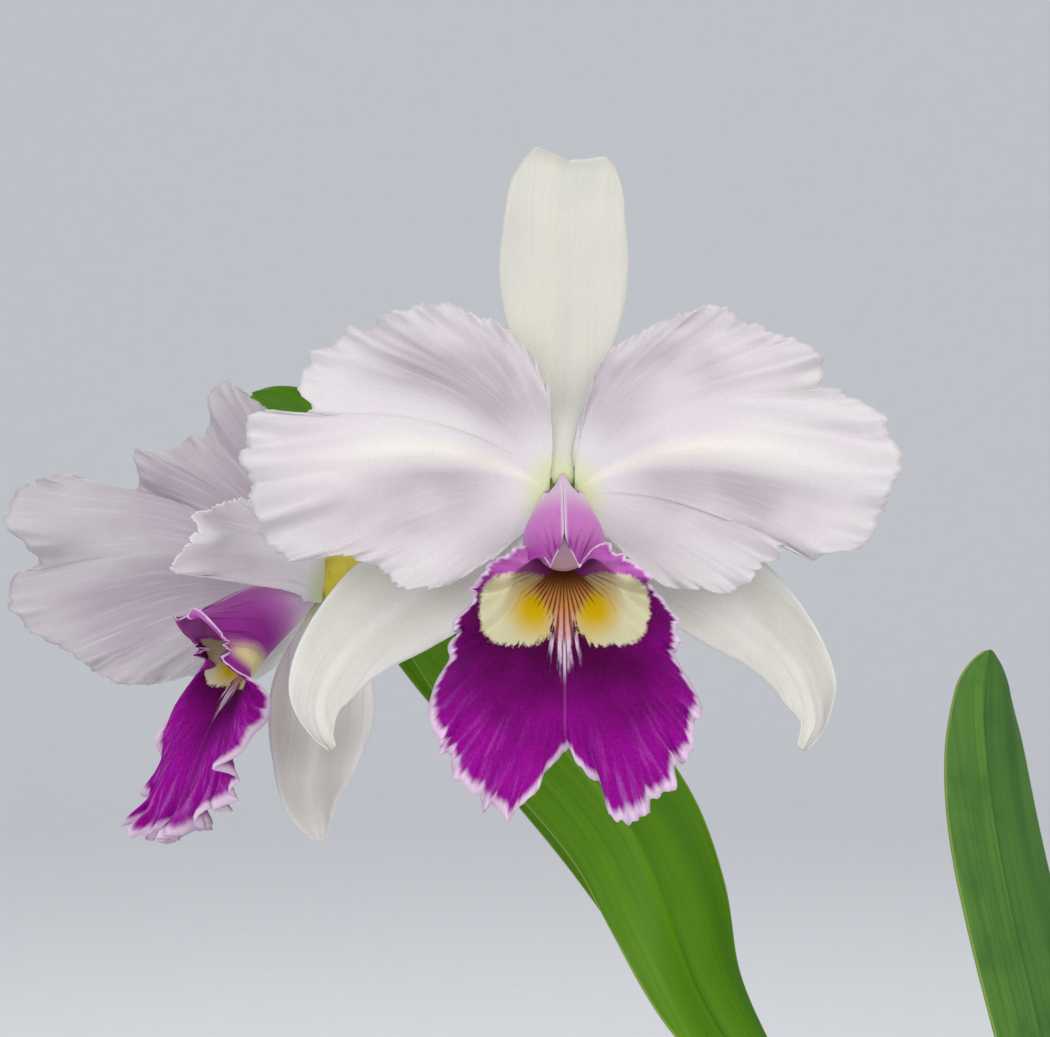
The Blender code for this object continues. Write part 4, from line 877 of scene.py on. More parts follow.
def leaf_skin(colours, name, light, dark, mottling, gloss):
    """A leathery leaf with a waxy cuticle: a soft gloss over green, with fine lengthwise veins.

    The veins lie about 1.2 mm apart. light and dark are its two greens; dark also paints shade on one
    half of the fold and along the groove.
    """
    material, add = new_finish(name, 0.46, {"IOR": 1.45, "Specular IOR Level": 0.16, "Coat Weight": gloss,
                                            "Coat Roughness": 0.3})
    form, place, split = coordinates(add)
    share = add("Math", split["Z"], operation="ABSOLUTE")
    groove = add("Math", split["X"], operation="ABSOLUTE")
    veins = add("TexNoise", add("VectorMath", form, (0.85, 0.012, 0.0), **MULTIPLY), None, 1.0, 2.0)
    bands = add("TexNoise", add("VectorMath", form, (0.13, 0.004, 0.0), **MULTIPLY), None, 1.0, 1.0)
    blotch = add("TexNoise", place, None, 85.0, 4.0)
    # One half of the fold is painted darker, as shade, and random bands are added to it.
    painted_shade_side = add("MapRange", split["X"], -1.0, 1.5, 0.0, 0.42, **SMOOTH)
    shade = add("Math", painted_shade_side, add("MapRange", bands, 0.35, 0.65, 0.0, 0.45, **SMOOTH), **PLUS)
    colour = add("MixRGB", shade, light, dark)
    relief = add("Math", veins, add("Math", blotch, 0.5, **MULTIPLY), **PLUS)
    return dress(material, add, colour, [
        (add("MapRange", veins, 0.45, 0.70, 0.0, 0.45, **SMOOTH), dark),
        (add("MapRange", blotch, 0.44, 0.76, 0.0, mottling, **SMOOTH), dark),
        # The groove is painted darker, as shade in the crease.
        (add("MapRange", groove, 0.0, 1.6, 0.55, 0.0, **SMOOTH), dark),
        (add("MapRange", share, 0.965, 0.995, 0.0, 0.8, **SMOOTH), colours.leaf_edge),
    ], relief, 0.18)


def stem_skin(colours):
    """Fleshy stem: smooth green skin that turns yellow where the stalks near their blooms."""
    material, add = new_finish("orchid stem, fleshy green tissue", 0.38,
                               {"IOR": 1.45, "Coat Weight": 0.15, "Coat Roughness": 0.3,
                                "Subsurface Weight": 0.1, "Subsurface Scale": 0.0012})
    place = add("TexCoord").outputs["Object"]
    split = add("SeparateXYZ", place).outputs
    streak = add("TexNoise", add("VectorMath", place, (420.0, 420.0, 40.0), **MULTIPLY), None, 1.0, 3.0)
    spots = add("TexNoise", place, None, 300.0, 3.0)
    stalk = add("MapRange", add("Math", split["X"], -1.0, **MULTIPLY), 0.118, 0.142, 0.0, 0.95, **SMOOTH)
    colour = add("MixRGB", stalk, colours.stem_green, colours.ovary_yellow)
    clear = add("MapRange", stalk, 0.0, 0.95, 1.0, 0.3)
    streak_share = add("Math", add("MapRange", streak, 0.5, 0.75, 0.0, 0.4, **SMOOTH), clear, **MULTIPLY)
    spot_share = add("Math", add("MapRange", spots, 0.62, 0.74, 0.0, 0.6, **SMOOTH), clear, **MULTIPLY)
    return dress(material, add, colour, [
        (streak_share, colours.leaf_deep), (spot_share, colours.husk_brown),
    ], streak, 0.15)


def bulb_skin(colours):
    """Pseudobulb skin: a hard, shiny rind over water-storing flesh, grooved and scarred with age."""
    material, add = new_finish("pseudobulb, hard shiny rind", 0.4,
                               {"IOR": 1.46, "Coat Weight": 0.2, "Coat Roughness": 0.3})
    form, place, split = coordinates(add)
    streak = add("TexNoise", add("VectorMath", form, (1.3, 0.03, 0.0), **MULTIPLY), None, 1.0, 4.0)
    scars = add("TexNoise", place, None, 120.0, 5.0)
    colour = add("MixRGB", add("MapRange", streak, 0.40, 0.68, 0.0, 0.75, **SMOOTH), colours.bulb_green,
                 colours.leaf_dull)
    return dress(material, add, colour, [
        (add("MapRange", scars, 0.56, 0.70, 0.0, 0.85, **SMOOTH), colours.bulb_brown),
        (add("MapRange", split["Z"], 0.93, 0.99, 0.0, 0.8, **SMOOTH), colours.husk_brown),
    ], streak, 0.5)


def husk_paper(colours, name, light, dark):
    """Dry husk: paper thin and fibrous, with parallel veins about 1 mm apart."""
    material, add = new_finish(name, 0.72, {"IOR": 1.45, "Subsurface Weight": 0.08,
                                            "Subsurface Scale": 0.001})
    form, place, split = coordinates(add)
    fibres = add("TexNoise", add("VectorMath", form, (1.1, 0.05, 0.0), **MULTIPLY), None, 1.0, 4.0)
    stains = add("TexNoise", place, None, 90.0, 4.0)
    colour = add("MixRGB", add("MapRange", fibres, 0.44, 0.66, 0.0, 0.8, **SMOOTH), light, dark)
    return dress(material, add, colour, [
        (add("MapRange", stains, 0.55, 0.75, 0.0, 0.6, **SMOOTH), dark),
        (add("MapRange", split["Z"], 0.88, 1.0, 0.0, 0.7, **SMOOTH), colours.husk_brown),
    ], fibres, 0.4)


def root_skin(colours):
    """Root skin: a dry spongy sleeve, silvery grey, brown where the rhizome is scaly."""
    material, add = new_finish("orchid root, dry spongy skin", 0.85, {"IOR": 1.4})
    place = add("TexCoord").outputs["Object"]
    split = add("SeparateXYZ", place).outputs
    blotch = add("TexNoise", place, None, 160.0, 4.0)
    pores = add("TexVoronoi", place, None, 1400.0)
    colour = add("MixRGB", add("MapRange", blotch, 0.42, 0.66, 0.0, 0.8, **SMOOTH), colours.root_silver,
                 colours.bulb_brown)
    tip = add("MapRange", split["Z"], 0.068, 0.080, 1.0, 0.0, **SMOOTH)
    return dress(material, add, colour, [
        (tip, colours.root_tip),
    ], add("Math", blotch, pores, **PLUS), 0.4, add("MapRange", pores, 0.0, 0.8, 1.05, 0.85))


def bark_wood(colours):
    """Fir bark: layered and fibrous, dull, red-brown inside and nearly black outside."""
    material, add = new_finish("fir bark, dry and layered", 0.88, {"IOR": 1.45})
    form, place, split = coordinates(add)
    layers = add("TexNoise", add("VectorMath", form, (0.25, 0.5, 1.6), **MULTIPLY), None, 1.0, 5.0)
    pits = add("TexNoise", place, None, 520.0, 5.0)
    shade = add("Math", add("MapRange", layers, 0.35, 0.65, 0.0, 0.7, **SMOOTH),
                add("MapRange", pits, 0.35, 0.7, 0.0, 0.4, **SMOOTH), **PLUS)
    colour = add("MixRGB", shade, colours.bark_red, colours.bark_dark)
    paler = add("MapRange", add("Math", split["X"], 0.37, operation="MODULO"), 0.0, 0.37, 0.0, 0.3)
    relief = add("Math", layers, add("Math", pits, 0.5, **MULTIPLY), **PLUS)
    return dress(material, add, colour, [(paler, colours.husk_brown)], relief, 0.9)


def fired_clay(colours):
    """Unglazed terracotta: thrown and fired, matte and porous, with chalky bloom and faint rings."""
    material, add = new_finish("terracotta, unglazed and fired", 0.9, {"IOR": 1.5})
    place = add("TexCoord").outputs["Object"]
    split = add("SeparateXYZ", place).outputs
    bloom = add("TexNoise", add("VectorMath", place, (24.0, 24.0, 46.0), **MULTIPLY), None, 1.0, 5.0)
    speckle = add("TexNoise", place, None, 700.0, 3.0)
    rings = add("TexNoise", add("CombineXYZ", 0.0, 0.0, add("Math", split["Z"], 620.0, **MULTIPLY)), None,
                1.0, 2.0)
    colour = add("MixRGB", add("MapRange", bloom, 0.50, 0.72, 0.0, 0.75, **SMOOTH), colours.clay,
                 colours.clay_bloom)
    colour = add("MixRGB", 1.0, colour, add("MapRange", speckle, 0.3, 0.7, 0.86, 1.08), blend_type="MULTIPLY")
    # The clay is darker towards the bottom, in the bark's dark brown.
    darker_low = add("MapRange", split["Z"], 0.0, 0.035, 0.35, 0.0, **SMOOTH)
    relief = add("Math", rings, add("Math", speckle, 0.6, **MULTIPLY), **PLUS)
    return dress(material, add, colour, [(darker_low, colours.bark_dark)], relief, 0.25)


def floor_paint(colours):
    """The studio floor: matte paint with a barely visible roller texture."""
    material, add = new_finish("matte floor paint", 0.9, {})
    roller = add("TexNoise", add("TexCoord").outputs["Object"], None, 40.0, 2.0)
    colour = add("MixRGB", add("MapRange", roller, 0.3, 0.7, 0.0, 0.06), colours.floor_grey,
                 (1.0, 1.0, 1.0, 1.0))
    return dress(material, add, colour, [], roller, 0.3)


class Petal:
    """A broad petal: rays fan out from a narrow claw to a waved and crimped margin."""

    def __init__(self, side, shape, node, seed, sizes):
        self.side = side
        self.shape = shape
        self.pleats = PLEATS[node]
        self.notches = NOTCHES[node]
        self.seed = seed
        self.fan = shape["ruffle"] * (0.3 if shape["sweep"] else 0.06)
        self.crisp = sizes.margin_crisp / MM
        self.nicks = sizes.margin_nicks / MM
        ring = []
        for angle, reach in shape["margin"]:
            a = math.radians(angle)
            ring.append((reach * math.cos(a), 0, reach * math.sin(a)))
        self.margin = curve_through(ring, -1.0, 1.0)

    def folds(self, angle, rim, s):
        """Depth of the pleats, the midrib's crease and the margin's fine crimps."""
        off_rib = angle - self.shape["midrib"]
        near = smoothstep(0.08, 0.28, s)
        depth = -MIDRIB_RIDGE * bell(off_rib, 0, 5.0) * near * (1 - smoothstep(0.6, 0.92, s))
        depth += MIDRIB_HOLLOW * bell(off_rib, -17, 8.0) * near * (1 - smoothstep(0.6, 0.95, s))
        for place, height, breadth, start in self.pleats:
            depth += height * bell(angle, place, breadth) * smoothstep(start, 1, s)
        crimp = grain(rim.x / 3.6, rim.z / 3.6, s * 3 + self.seed)
        swell = grain(rim.x / 17, rim.z / 17, s * 2 - self.seed)
        rays = grain(angle * 0.5, s * 1.3, self.seed)
        rays *= 0.2 + self.fan * smoothstep(0, -22, angle)
        depth += 2.2 * self.crisp * crimp * smoothstep(0.86, 1, s) + 3.6 * swell * smoothstep(0.3, 1, s)
        return depth + rays * smoothstep(0.45, 0.95, s)

    def place(self, t, s):
        """Point, pattern place and fullness on the ray to margin place t, s of the way out."""
        shape = self.shape
        rim = self.margin.at(t)
        tooth = grain(t * 75, self.seed, 0.5)
        lobe = grain(t * 17, self.seed, 4.5)
        reach = rim.length + self.nicks * (tooth + 1.1 * lobe) * smoothstep(0.84, 1, s)
        angle = math.degrees(math.atan2(rim.z, rim.x))
        for middle, depth, breadth in self.notches:
            reach -= depth * bell(angle, middle, breadth) * smoothstep(0.7, 1, s)
        bow = (PETAL_BOW * (1 - t * t) + 8 * t) * (1 - s) ** 1.5
        heading = math.radians(angle + bow)
        far = reach * s
        outward = far * math.cos(heading)
        upward = far * math.sin(heading) + CLAW_HALF * t * (1 - s)
        off_rib = (angle - shape["midrib"]) / MIDRIB_SPREAD
        ridge = 1 - math.exp(-off_rib * off_rib)
        fall = PETAL_DROOP if off_rib < 0 else PETAL_BACKROLL
        droop = fall * ridge * math.sin(math.pi * 0.8 * s)
        bowl = -PETAL_BOWL * math.sin(math.pi * 0.85 * min(far / FULL_PETAL, 1)) * smoothstep(5, 26, far)
        wave = shape["ruffle"] * s**7 * 0.6 * math.sin(math.pi * shape["waves"] * (t + 1) + shape["phase"])
        wave += self.folds(angle, rim, s)
        back = PETAL_SEAT + bowl + droop * smoothstep(4, 24, far) + wave * smoothstep(10, 40, far)
        lift = math.radians(shape["lift"])
        risen = Vector((outward * math.cos(lift) - upward * math.sin(lift), back,
                        outward * math.sin(lift) + upward * math.cos(lift)))
        sweep = math.radians(shape["sweep"])
        bent = risen.y - PETAL_SEAT
        turned_x = risen.x * math.cos(sweep) + bent * math.sin(sweep)
        turned_y = bent * math.cos(sweep) - risen.x * math.sin(sweep)
        point = Vector((self.side * (shape["claw"] + turned_x), PETAL_SEAT + turned_y, risen.z))
        return point, (angle, far, s), 1 - smoothstep(0.8, 1, s)


class Lip:
    """The lip: a tube rolled round the column, which opens into a broad crimped lobe."""

    def __init__(self, bloom, crisp):
        self.dip = math.radians(bloom["tube_dip"])
        self.lean = math.tan(math.radians(bloom["lip_lean"]))
        self.breadth = bloom["lip_breadth"]
        self.drop = bloom["lip_drop"]
        self.length = bloom["tube_length"]
        self.character = LIP_CHARACTER[bloom["name"]]
        self.hood = self.character["hood"]
        self.crisp = crisp * self.character["crisp"]
        self.reaches = [SmoothCurve(self.character[side]) for side in ("left", "right")]
        self.axis = Vector((0, -math.cos(self.dip), -math.sin(self.dip)))
        self.mouth = self.axis * self.length

    def point(self, u, s):
        """Point at u of the way from straight down to the seam, s of the way from foot to rim."""
        seam = FINE_LIP_SEAM - (FINE_LIP_SEAM - LIP_PARTING) * smoothstep(0.40, 0.86, s)
        degrees_off = abs(u) * seam
        calm = smoothstep(*self.character["calm"], degrees_off)
        rim = smoothstep(0.87, 1, s) * calm * smoothstep(160, 128, degrees_off)
        reach = self.reaches[u > 0].at(degrees_off)
        arc = math.copysign(degrees_off * (0.4 * reach + 14) / 57.3, u)
        curl = 8.0 * self.crisp / (12 + reach) * grain(arc / 3.2, s * 3, 31.7) * rim
        theta = math.radians(u * seam + curl * 4)
        flat = Vector((math.sin(theta), 0, -math.cos(theta)))
        round_tube = Vector((flat.x, math.sin(self.dip) * math.cos(theta),
                             -math.cos(self.dip) * math.cos(theta)))
        tooth = grain(arc / 0.95, s * 2, 3.7) - 0.8 * abs(grain(arc / 1.9, 5, 3.7))
        lobe = grain(arc / 3.0, s * 2, 9.1)
        reach += self.character["lobes"] * (1.6 * tooth + 3.2 * lobe) * rim * (0.45 + 0.012 * reach)
        down = max(0.0, math.cos(theta))
        belly = LIP_BELLY * math.sin(math.pi * min(degrees_off / 62, 1))
        spread = Vector((flat.x * self.breadth, 0, flat.z * (self.hood if flat.z > 0 else self.drop)))
        hooded = Vector((0, 0, 4 * (self.hood - 1) * max(0.0, flat.z)))
        forward = reach * self.lean * down + belly
        flare_back = LIP_FLARE * reach * math.sin(theta) ** 2
        short = LIP_UNDERCUT * (1 + math.cos(theta)) / 2
        cage = [
            Vector((0, LIP_SEAT, -0.4)) + flat * LIP_FOOT_RADIUS,
            self.axis * (0.36 * self.length) + round_tube * LIP_TUBE_RADIUS,
            self.axis * (0.76 * self.length - 0.5 * short) + round_tube * LIP_THROAT_RADIUS,
            self.axis * (1.1 * self.length - short) + (round_tube + flat) * LIP_MOUTH_RADIUS + hooded,
            self.mouth + spread * (0.6 * reach) + Vector((0, short - 0.75 * forward, 0)),
            self.mouth + spread * reach + Vector((0, short + flare_back - forward + 0.5 * belly, 0)),
        ]
        while len(cage) > 1:
            cage = [a.lerp(b, s) for a, b in zip(cage, cage[1:])]
        frill = LIP_FRILL * s**5 * math.sin(math.radians(degrees_off) * LIP_FRILLS + 0.6)
        crimp = self.crisp * grain(arc / 2.7, s * 3, 7.3) * smoothstep(0.86, 1, s)
        crimp += self.character["fine"] * self.crisp * grain(arc / 1.1, s * 5, 2.3) * smoothstep(0.92, 1, s)
        rumple = self.character["rumple"] * grain(arc / 9, s * 2.5, 1.1) * smoothstep(0.6, 0.97, s)
        depth = (frill + crimp + rumple) * calm
        over_column = smoothstep(100, 150, degrees_off) * smoothstep(0.4, 1, s)
        beside = smoothstep(60, 85, degrees_off) * smoothstep(150, 110, degrees_off) * smoothstep(0.5, 1, s)
        depth -= self.character["sides"] * beside
        point = cage[0] + Vector((0, depth, 0)) + Vector(self.character["hood_shift"]) * over_column
        height = point.z - self.mouth.z
        if degrees_off > 90:
            point.x *= (1 - 0.72 * smoothstep(20, 28, height)) * (1 + 0.13 * bell(height, 15, 4.5))
        return point


def link_new(name, data):
    """A new object of the scene that shows a mesh, a lamp or a lens."""
    thing = bpy.data.objects.new(name, data)
    bpy.context.scene.collection.objects.link(thing)
    return thing


def mesh_object(name, bm, materials=()):
    """A new object of the scene that takes over a bmesh."""
    mesh = bpy.data.meshes.new(name)
    bm.to_mesh(mesh)
    bm.free()
    for material in materials:
        mesh.materials.append(material)
    return link_new(name, mesh)


def spun(profile, turns, merge):
    """A bmesh turned from an outline in the xz plane, its points closer than merge made one."""
    bm = bmesh.new()
    points = [bm.verts.new(point) for point in profile]
    outline = [bm.edges.new(pair) for pair in zip(points, points[1:])]
    bmesh.ops.spin(bm, geom=points + outline, cent=(0, 0, 0), axis=(0, 0, 1), angle=math.tau,
                   steps=turns, use_merge=True)
    bmesh.ops.remove_doubles(bm, verts=bm.verts, dist=merge)
    bmesh.ops.recalc_face_normals(bm, faces=bm.faces)
    return bm


def finish_piece(name, bm, materials, slot, *nodes):
    """Turn a bmesh in millimetres into a piece that stands for those nodes of the frame."""
    for node in nodes:
        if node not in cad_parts:
            raise RuntimeError(f"{RAISES}: {node}")
    bmesh.ops.scale(bm, verts=bm.verts, vec=(MM, MM, MM))
    piece = mesh_object(name, bm, materials)
    piece.data.shade_smooth()
    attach(piece, "root")
    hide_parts(*nodes)
    return piece


def blade(name, cells, place, thickness, materials, slot, node, matrix=Matrix()):
    """A thin blade: a grid whose points go where place says, with a wall that thins at its edge."""
    bm = bmesh.new()
    form = bm.verts.layers.float_vector.new("form")
    weight = bm.verts.layers.deform.verify()
    bmesh.ops.create_grid(bm, x_segments=cells[0], y_segments=cells[1], size=1.0)
    for vert in bm.verts:
        point, pattern, fullness = place(vert.co.x, (vert.co.y + 1) / 2)
        vert.co = matrix @ point
        vert[form] = pattern
        vert[weight][0] = fullness
    piece = finish_piece(name, bm, materials, slot, node)
    piece.vertex_groups.new(name="fullness")
    wall = piece.modifiers.new("wall", "SOLIDIFY")
    wall.thickness = thickness
    wall.offset = 0
    wall.use_quality_normals = True
    wall.vertex_group = "fullness"
    wall.thickness_vertex_group = EDGE_SHARE
    wall.material_offset = len(materials) - 1
    return piece


def apply_modifiers(piece):
    """Make what a piece's modifiers show its own mesh."""
    bpy.context.view_layer.update()
    shown = piece.evaluated_get(bpy.context.evaluated_depsgraph_get())
    old = piece.data
    piece.data = bpy.data.meshes.new_from_object(shown)
    piece.modifiers.clear()
    bpy.data.meshes.remove(old)


def bloom_matrix(bloom):
    """From a bloom's own frame to the plant's, both in millimetres."""
    return Matrix.Translation(bloom["centre"]) @ Matrix.Rotation(math.radians(bloom["yaw"]), 4, "Z")


def sepal_place(strip, trough, span, seed):
    """The place function of a sepal: a shallow trough with a slightly waved rim."""
    def place(u, w):
        along = crowd(w)
        point = strip.point(u, along, trough * u * u * smoothstep(0.05, 0.35, along))
        face = strip.frame(along)[1]
        waved = grain(u * 1.5, along * 9, seed) * abs(u) ** 3
        keel = -0.5 * bell(u, 0, 0.12) * smoothstep(0.05, 0.3, along)
        point += face * ((1.3 * waved + keel) * smoothstep(0.15, 0.4, along))
        pattern = (u * strip.width.at(along), along * span, abs(u))
        return point, pattern, 1 - smoothstep(0.75, 1, abs(u))
    return place


def leaf_place(leaf):
    """The place function of a leaf: it folds along its groove and has a pale, thin rim."""
    strip = Strip(leaf["groove"], leaf["widths"], (0, -1, 0), leaf["turn"])
    span = run_length(leaf["groove"])

    def place(u, w):
        along = crowd(w)
        face = strip.frame(along)[1]
        point = leaf_point(strip, u, along)
        uneven = grain(u * 1.2, along * 5, 0.3) * smoothstep(0.1, 0.4, along)
        groove = bell(u, 0, 0.07) * smoothstep(0.02, 0.15, along) * (1 - smoothstep(0.9, 1, along))
        point += face * (1.1 * uneven * abs(u) - 0.7 * groove)
        return point, (u * strip.width.at(along), along * span, u), 1 - smoothstep(0.55, 1, abs(u))
    return place


def drawn_out(bm, around, rings, place):
    """A sphere drawn out into a closed body with flat ends: place gives each point and its pattern."""
    form = bm.verts.layers.float_vector.new("form")
    bmesh.ops.create_uvsphere(bm, u_segments=around, v_segments=rings, radius=1.0)
    for vert in bm.verts:
        climb = math.acos(max(-1.0, min(1.0, -vert.co.z)))
        w = min(max((climb - math.pi / rings) / (math.pi - 2 * math.pi / rings), 0), 1)
        at_pole = abs(vert.co.z) > 0.9999
        vert.co, vert[form] = place(w, math.atan2(vert.co.y, vert.co.x), at_pole)


def bulb_axis(growth):
    """Foot and top of a pseudobulb's axis."""
    return Vector((*growth["base"], BULB_BASE_Z)), Vector(growth["apex"])


def bulb_point(growth, w, angle, extra):
    """Point on a pseudobulb, w of the way up, extra outside its skin; it is ribbed lengthwise."""
    base, apex = bulb_axis(growth)
    girth = SmoothCurve([(0, BULB_FOOT_RADIUS), (0.12, 5.6), (growth["girth_at"], growth["radius"]),
                         (0.88, 9.5), (1, BULB_TOP_RADIUS)])
    rib = 0.5 - 0.5 * math.cos(7 * angle)
    radius = girth.at(w)
    radius -= 0.09 * radius * rib * math.sin(math.pi * w) if extra == 0 else -extra
    return base.lerp(apex, w) + polar(radius, angle)


def bulb_place(growth, number):
    """The place function of a pseudobulb: its ribs shrivel into fine wrinkles, with ringed joints."""
    base, apex = bulb_axis(growth)
    tall = (apex - base).length

    def place(w, angle, at_pole):
        if at_pole:
            return base.lerp(apex, w), (0, tall * w, w)
        wrinkle = grain(math.cos(angle) * 5, math.sin(angle) * 5, w * 3 + number)
        wrinkle = 0.9 * wrinkle * math.sin(math.pi * w)
        ring = sum(-0.7 * bell(w, joint, 0.012) for joint in BULB_JOINTS)
        point = bulb_point(growth, w, angle, 0)
        axis = base.lerp(apex, w)
        point += (point - axis).normalized() * (wrinkle + ring)
        return point, (angle * growth["radius"], tall * w, w)
    return place


def husk_place(growth, number):
    """The place function of a husk: it wraps a pseudobulb's foot and ends in a torn edge."""
    base, apex = bulb_axis(growth)
    tall = (apex - base).length

    def place(u, w):
        torn = grain(u * 11, number, 0.2) + 0.5 * grain(u * 34, number, 2.2)
        height = 0.02 + w * (0.47 - 0.22 * abs(u) ** 1.5 + 0.045 * torn * w)
        angle = math.radians(-100 + 158 * u)
        spare = SEAT_GAP + 0.6 + 2.2 * w * w
        spare += 0.9 * max(0.0, grain(u * 6, w * 2.5, number)) * w
        pattern = (angle * growth["radius"], tall * height, w)
        return bulb_point(growth, height, angle, spare), pattern, 1 - 0.5 * smoothstep(0.8, 1, w)
    return place


def shoot_place(w, angle, at_pole):
    """The place function of the new shoot: a pointed bud wrapped in overlapping scales."""
    foot = Vector((*SHOOT_BASE, BULB_BASE_Z))
    girth = SmoothCurve([(0, 4.6), (0.25, 7.0), (0.55, 5.8), (0.85, 2.8), (1, 1.0)])
    radius = 0 if at_pole else girth.at(w)
    for edge, side in SHOOT_SCALES:
        hem = edge + 0.07 * math.cos(angle - math.radians(side))
        radius += 0.5 * (1 - smoothstep(hem - 0.006, hem + 0.006, w)) * (0 if at_pole else w * 0.6 + 0.2)
    centre = foot.lerp(Vector(SHOOT_TIP), w) + Vector((4, 1, 0)) * math.sin(math.pi * w)
    around = Vector((radius * math.cos(angle), 0.85 * radius * math.sin(angle), 0))
    return centre + around, (angle * 6, w * 56, w * 0.9)


def add_tube(bm, points, radii, around, along, relief=0.0):
    """A closed tube along a smooth curve: a grid rolled up, with its seam merged and its ends filled."""
    path = curve_through(points)
    girth = SmoothCurve(radii)
    strip = Strip(points, [(0, 1), (1, 1)], SIDE_FACE, NO_TURN, samples=along)
    made = bmesh.ops.create_grid(bm, x_segments=around, y_segments=along, size=1.0)["verts"]
    for vert in made:
        angle = math.pi * vert.co.x
        w = (vert.co.y + 1) / 2
        across, face = strip.frame(w)
        rough = relief * grain(math.cos(angle), math.sin(angle), w * len(points) * 4)
        vert.co = path.at(w) + (across * math.sin(angle) + face * math.cos(angle)) * (girth.at(w) + rough)
    bmesh.ops.remove_doubles(bm, verts=made, dist=MERGE)
    rims = [edge for edge in bm.edges if edge.is_boundary]
    bmesh.ops.holes_fill(bm, edges=rims, sides=0)


def grown_together(name, bm, voxel, material, slot, node):
    """Tubes that run into each other become one skin, and their joints are smoothed."""
    bmesh.ops.recalc_face_normals(bm, faces=bm.faces)
    piece = finish_piece(name, bm, [material], slot, node)
    skin = piece.modifiers.new("skin", "REMESH")
    skin.mode = "VOXEL"
    skin.voxel_size = voxel * MM
    skin.use_smooth_shade = True
    ease = piece.modifiers.new("ease", "SMOOTH")
    ease.factor = EASE
    ease.iterations = EASE_ROUNDS
    apply_modifiers(piece)
    piece.data.materials.clear()
    piece.data.materials.append(material)
    return piece


def looks():
    """The sizes and colours that a user can change."""
    scene = bpy.context.scene
    return scene.orchid_sizes, scene.orchid_colours


class ORCHID_OT_petals(bpy.types.Operator):
    """Shape the four broad petals"""
    bl_idname = "orchid.petals"
    bl_label = "Petals"

    def execute(self, context):
        sizes, colours = looks()
        fresh, older, near = (
            petal_tissue(f"orchid petal{which}, waxy living tissue", 0.9, 0.045, (4.0, 7.0), tints)
            for which, tints in (
                ("", (colours.petal_white, colours.petal_shade, colours.petal_vein, colours.rib_cream_and_highlight,
                      colours.claw_green, colours.petal_painted_shade)),
                # The older bloom's left petal takes darker copies of the tints, painted shade.
                (" of the older bloom",
                 (colours.older_white_painted_shade, colours.older_flush_painted_shade, colours.petal_vein, colours.older_white_painted_shade,
                  colours.older_white_painted_shade, colours.older_flush_painted_shade)),
                # Its near petal takes lighter copies of the tints, painted light.
                (" of the older bloom, near side",
                 (colours.near_white_painted_light, colours.near_flush_painted_light, colours.petal_vein, colours.near_white_painted_light,
                  colours.claw_green, colours.near_flush_painted_light))))
        for seed, (bloom, part, side, tissue) in enumerate([
                (BLOOM_A, "petal_left", -1, fresh), (BLOOM_A, "petal_right", 1, fresh),
                (BLOOM_B, "petal_left", -1, older), (BLOOM_B, "petal_right", 1, near)]):
            node = f"{bloom['name']}_{part}"
            petal = Petal(side, bloom[part], node, seed * 7.7, sizes)
            blade(node + "_blade", FINE_PETAL_CELLS, petal.place, sizes.petal_thickness,
                  [tissue], "petals", node, bloom_matrix(bloom))
        return {"FINISHED"}


class ORCHID_OT_sepals(bpy.types.Operator):
    """Shape the six narrow sepals behind the petals"""
    bl_idname = "orchid.sepals"
    bl_label = "Sepals"

    def execute(self, context):
        sizes, colours = looks()
        tissues = {}
        for key, name, white in (("bloom_a", "orchid sepal", colours.sepal_white),
                                 # The older bloom's sepals take a lighter copy of the white, painted light.
                                 ("bloom_b", "orchid sepal of the older bloom", colours.older_sepal_painted_light),
                                 # The upright sepals take a darker copy of the sepal white, painted shade.
                                 ("dorsal_sepal", "orchid sepal, upright, painted shade", colours.upright_white_painted_shade)):
            tissues[key] = petal_tissue(name + ", waxy living tissue", 0.85, 0.02, (0.0, 2.6), (
                white, colours.sepal_shade, colours.sepal_vein, white, colours.claw_green,
                colours.sepal_shade))
        for seed, (bloom, part) in enumerate(
                (bloom, part) for bloom in (BLOOM_A, BLOOM_B)
                for part in ("dorsal_sepal", "lateral_sepal_left", "lateral_sepal_right")):
            shape = bloom[part]
            strip = Strip(shape["spine"], shape["widths"], (0, -1, 0), shape.get("turn", NO_TURN))
            span = run_length(shape["spine"])
            node = f"{bloom['name']}_{part}"
            blade(node + "_blade", FINE_SEPAL_CELLS, sepal_place(strip, shape["trough"], span, seed),
                  sizes.petal_thickness, [tissues.get(part, tissues[bloom["name"]])], "petals", node,
                  bloom_matrix(bloom))
        return {"FINISHED"}


class ORCHID_OT_lips(bpy.types.Operator):
    """Shape the two lips, each a rolled tube that opens into a frilled lobe"""
    bl_idname = "orchid.lips"
    bl_label = "Lips"

    def execute(self, context):
        sizes, colours = looks()
        face = lip_face(colours)
        backs = {"bloom_a": lip_back(colours, "orchid lip, smooth outer skin", 0.26, 0.62),
                 "bloom_b": lip_back(colours, "orchid lip of the older bloom, smooth outer skin", 0.14, 0.42)}
        crisp = sizes.lip_crisp / MM
        pattern = Lip(BLOOM_A, 0.0)
        for bloom in (BLOOM_A, BLOOM_B):
            lip = Lip(bloom, crisp)

            def place(u, s, lip=lip):
                flat = (pattern.point(u, s) - pattern.mouth) * lip.character["pattern"]
                rim = s + (1 - s) * smoothstep(0.968, 1, abs(u)) * smoothstep(0.42, 0.6, s)
                return lip.point(u, s), (flat.x, flat.z, rim), 1 - smoothstep(0.8, 1, s)
            node = bloom["name"] + "_lip"
            blade(node + "_blade", FINE_LIP_CELLS, place, sizes.petal_thickness,
                  [backs[bloom["name"]], face], "lips", node, bloom_matrix(bloom))
        return {"FINISHED"}


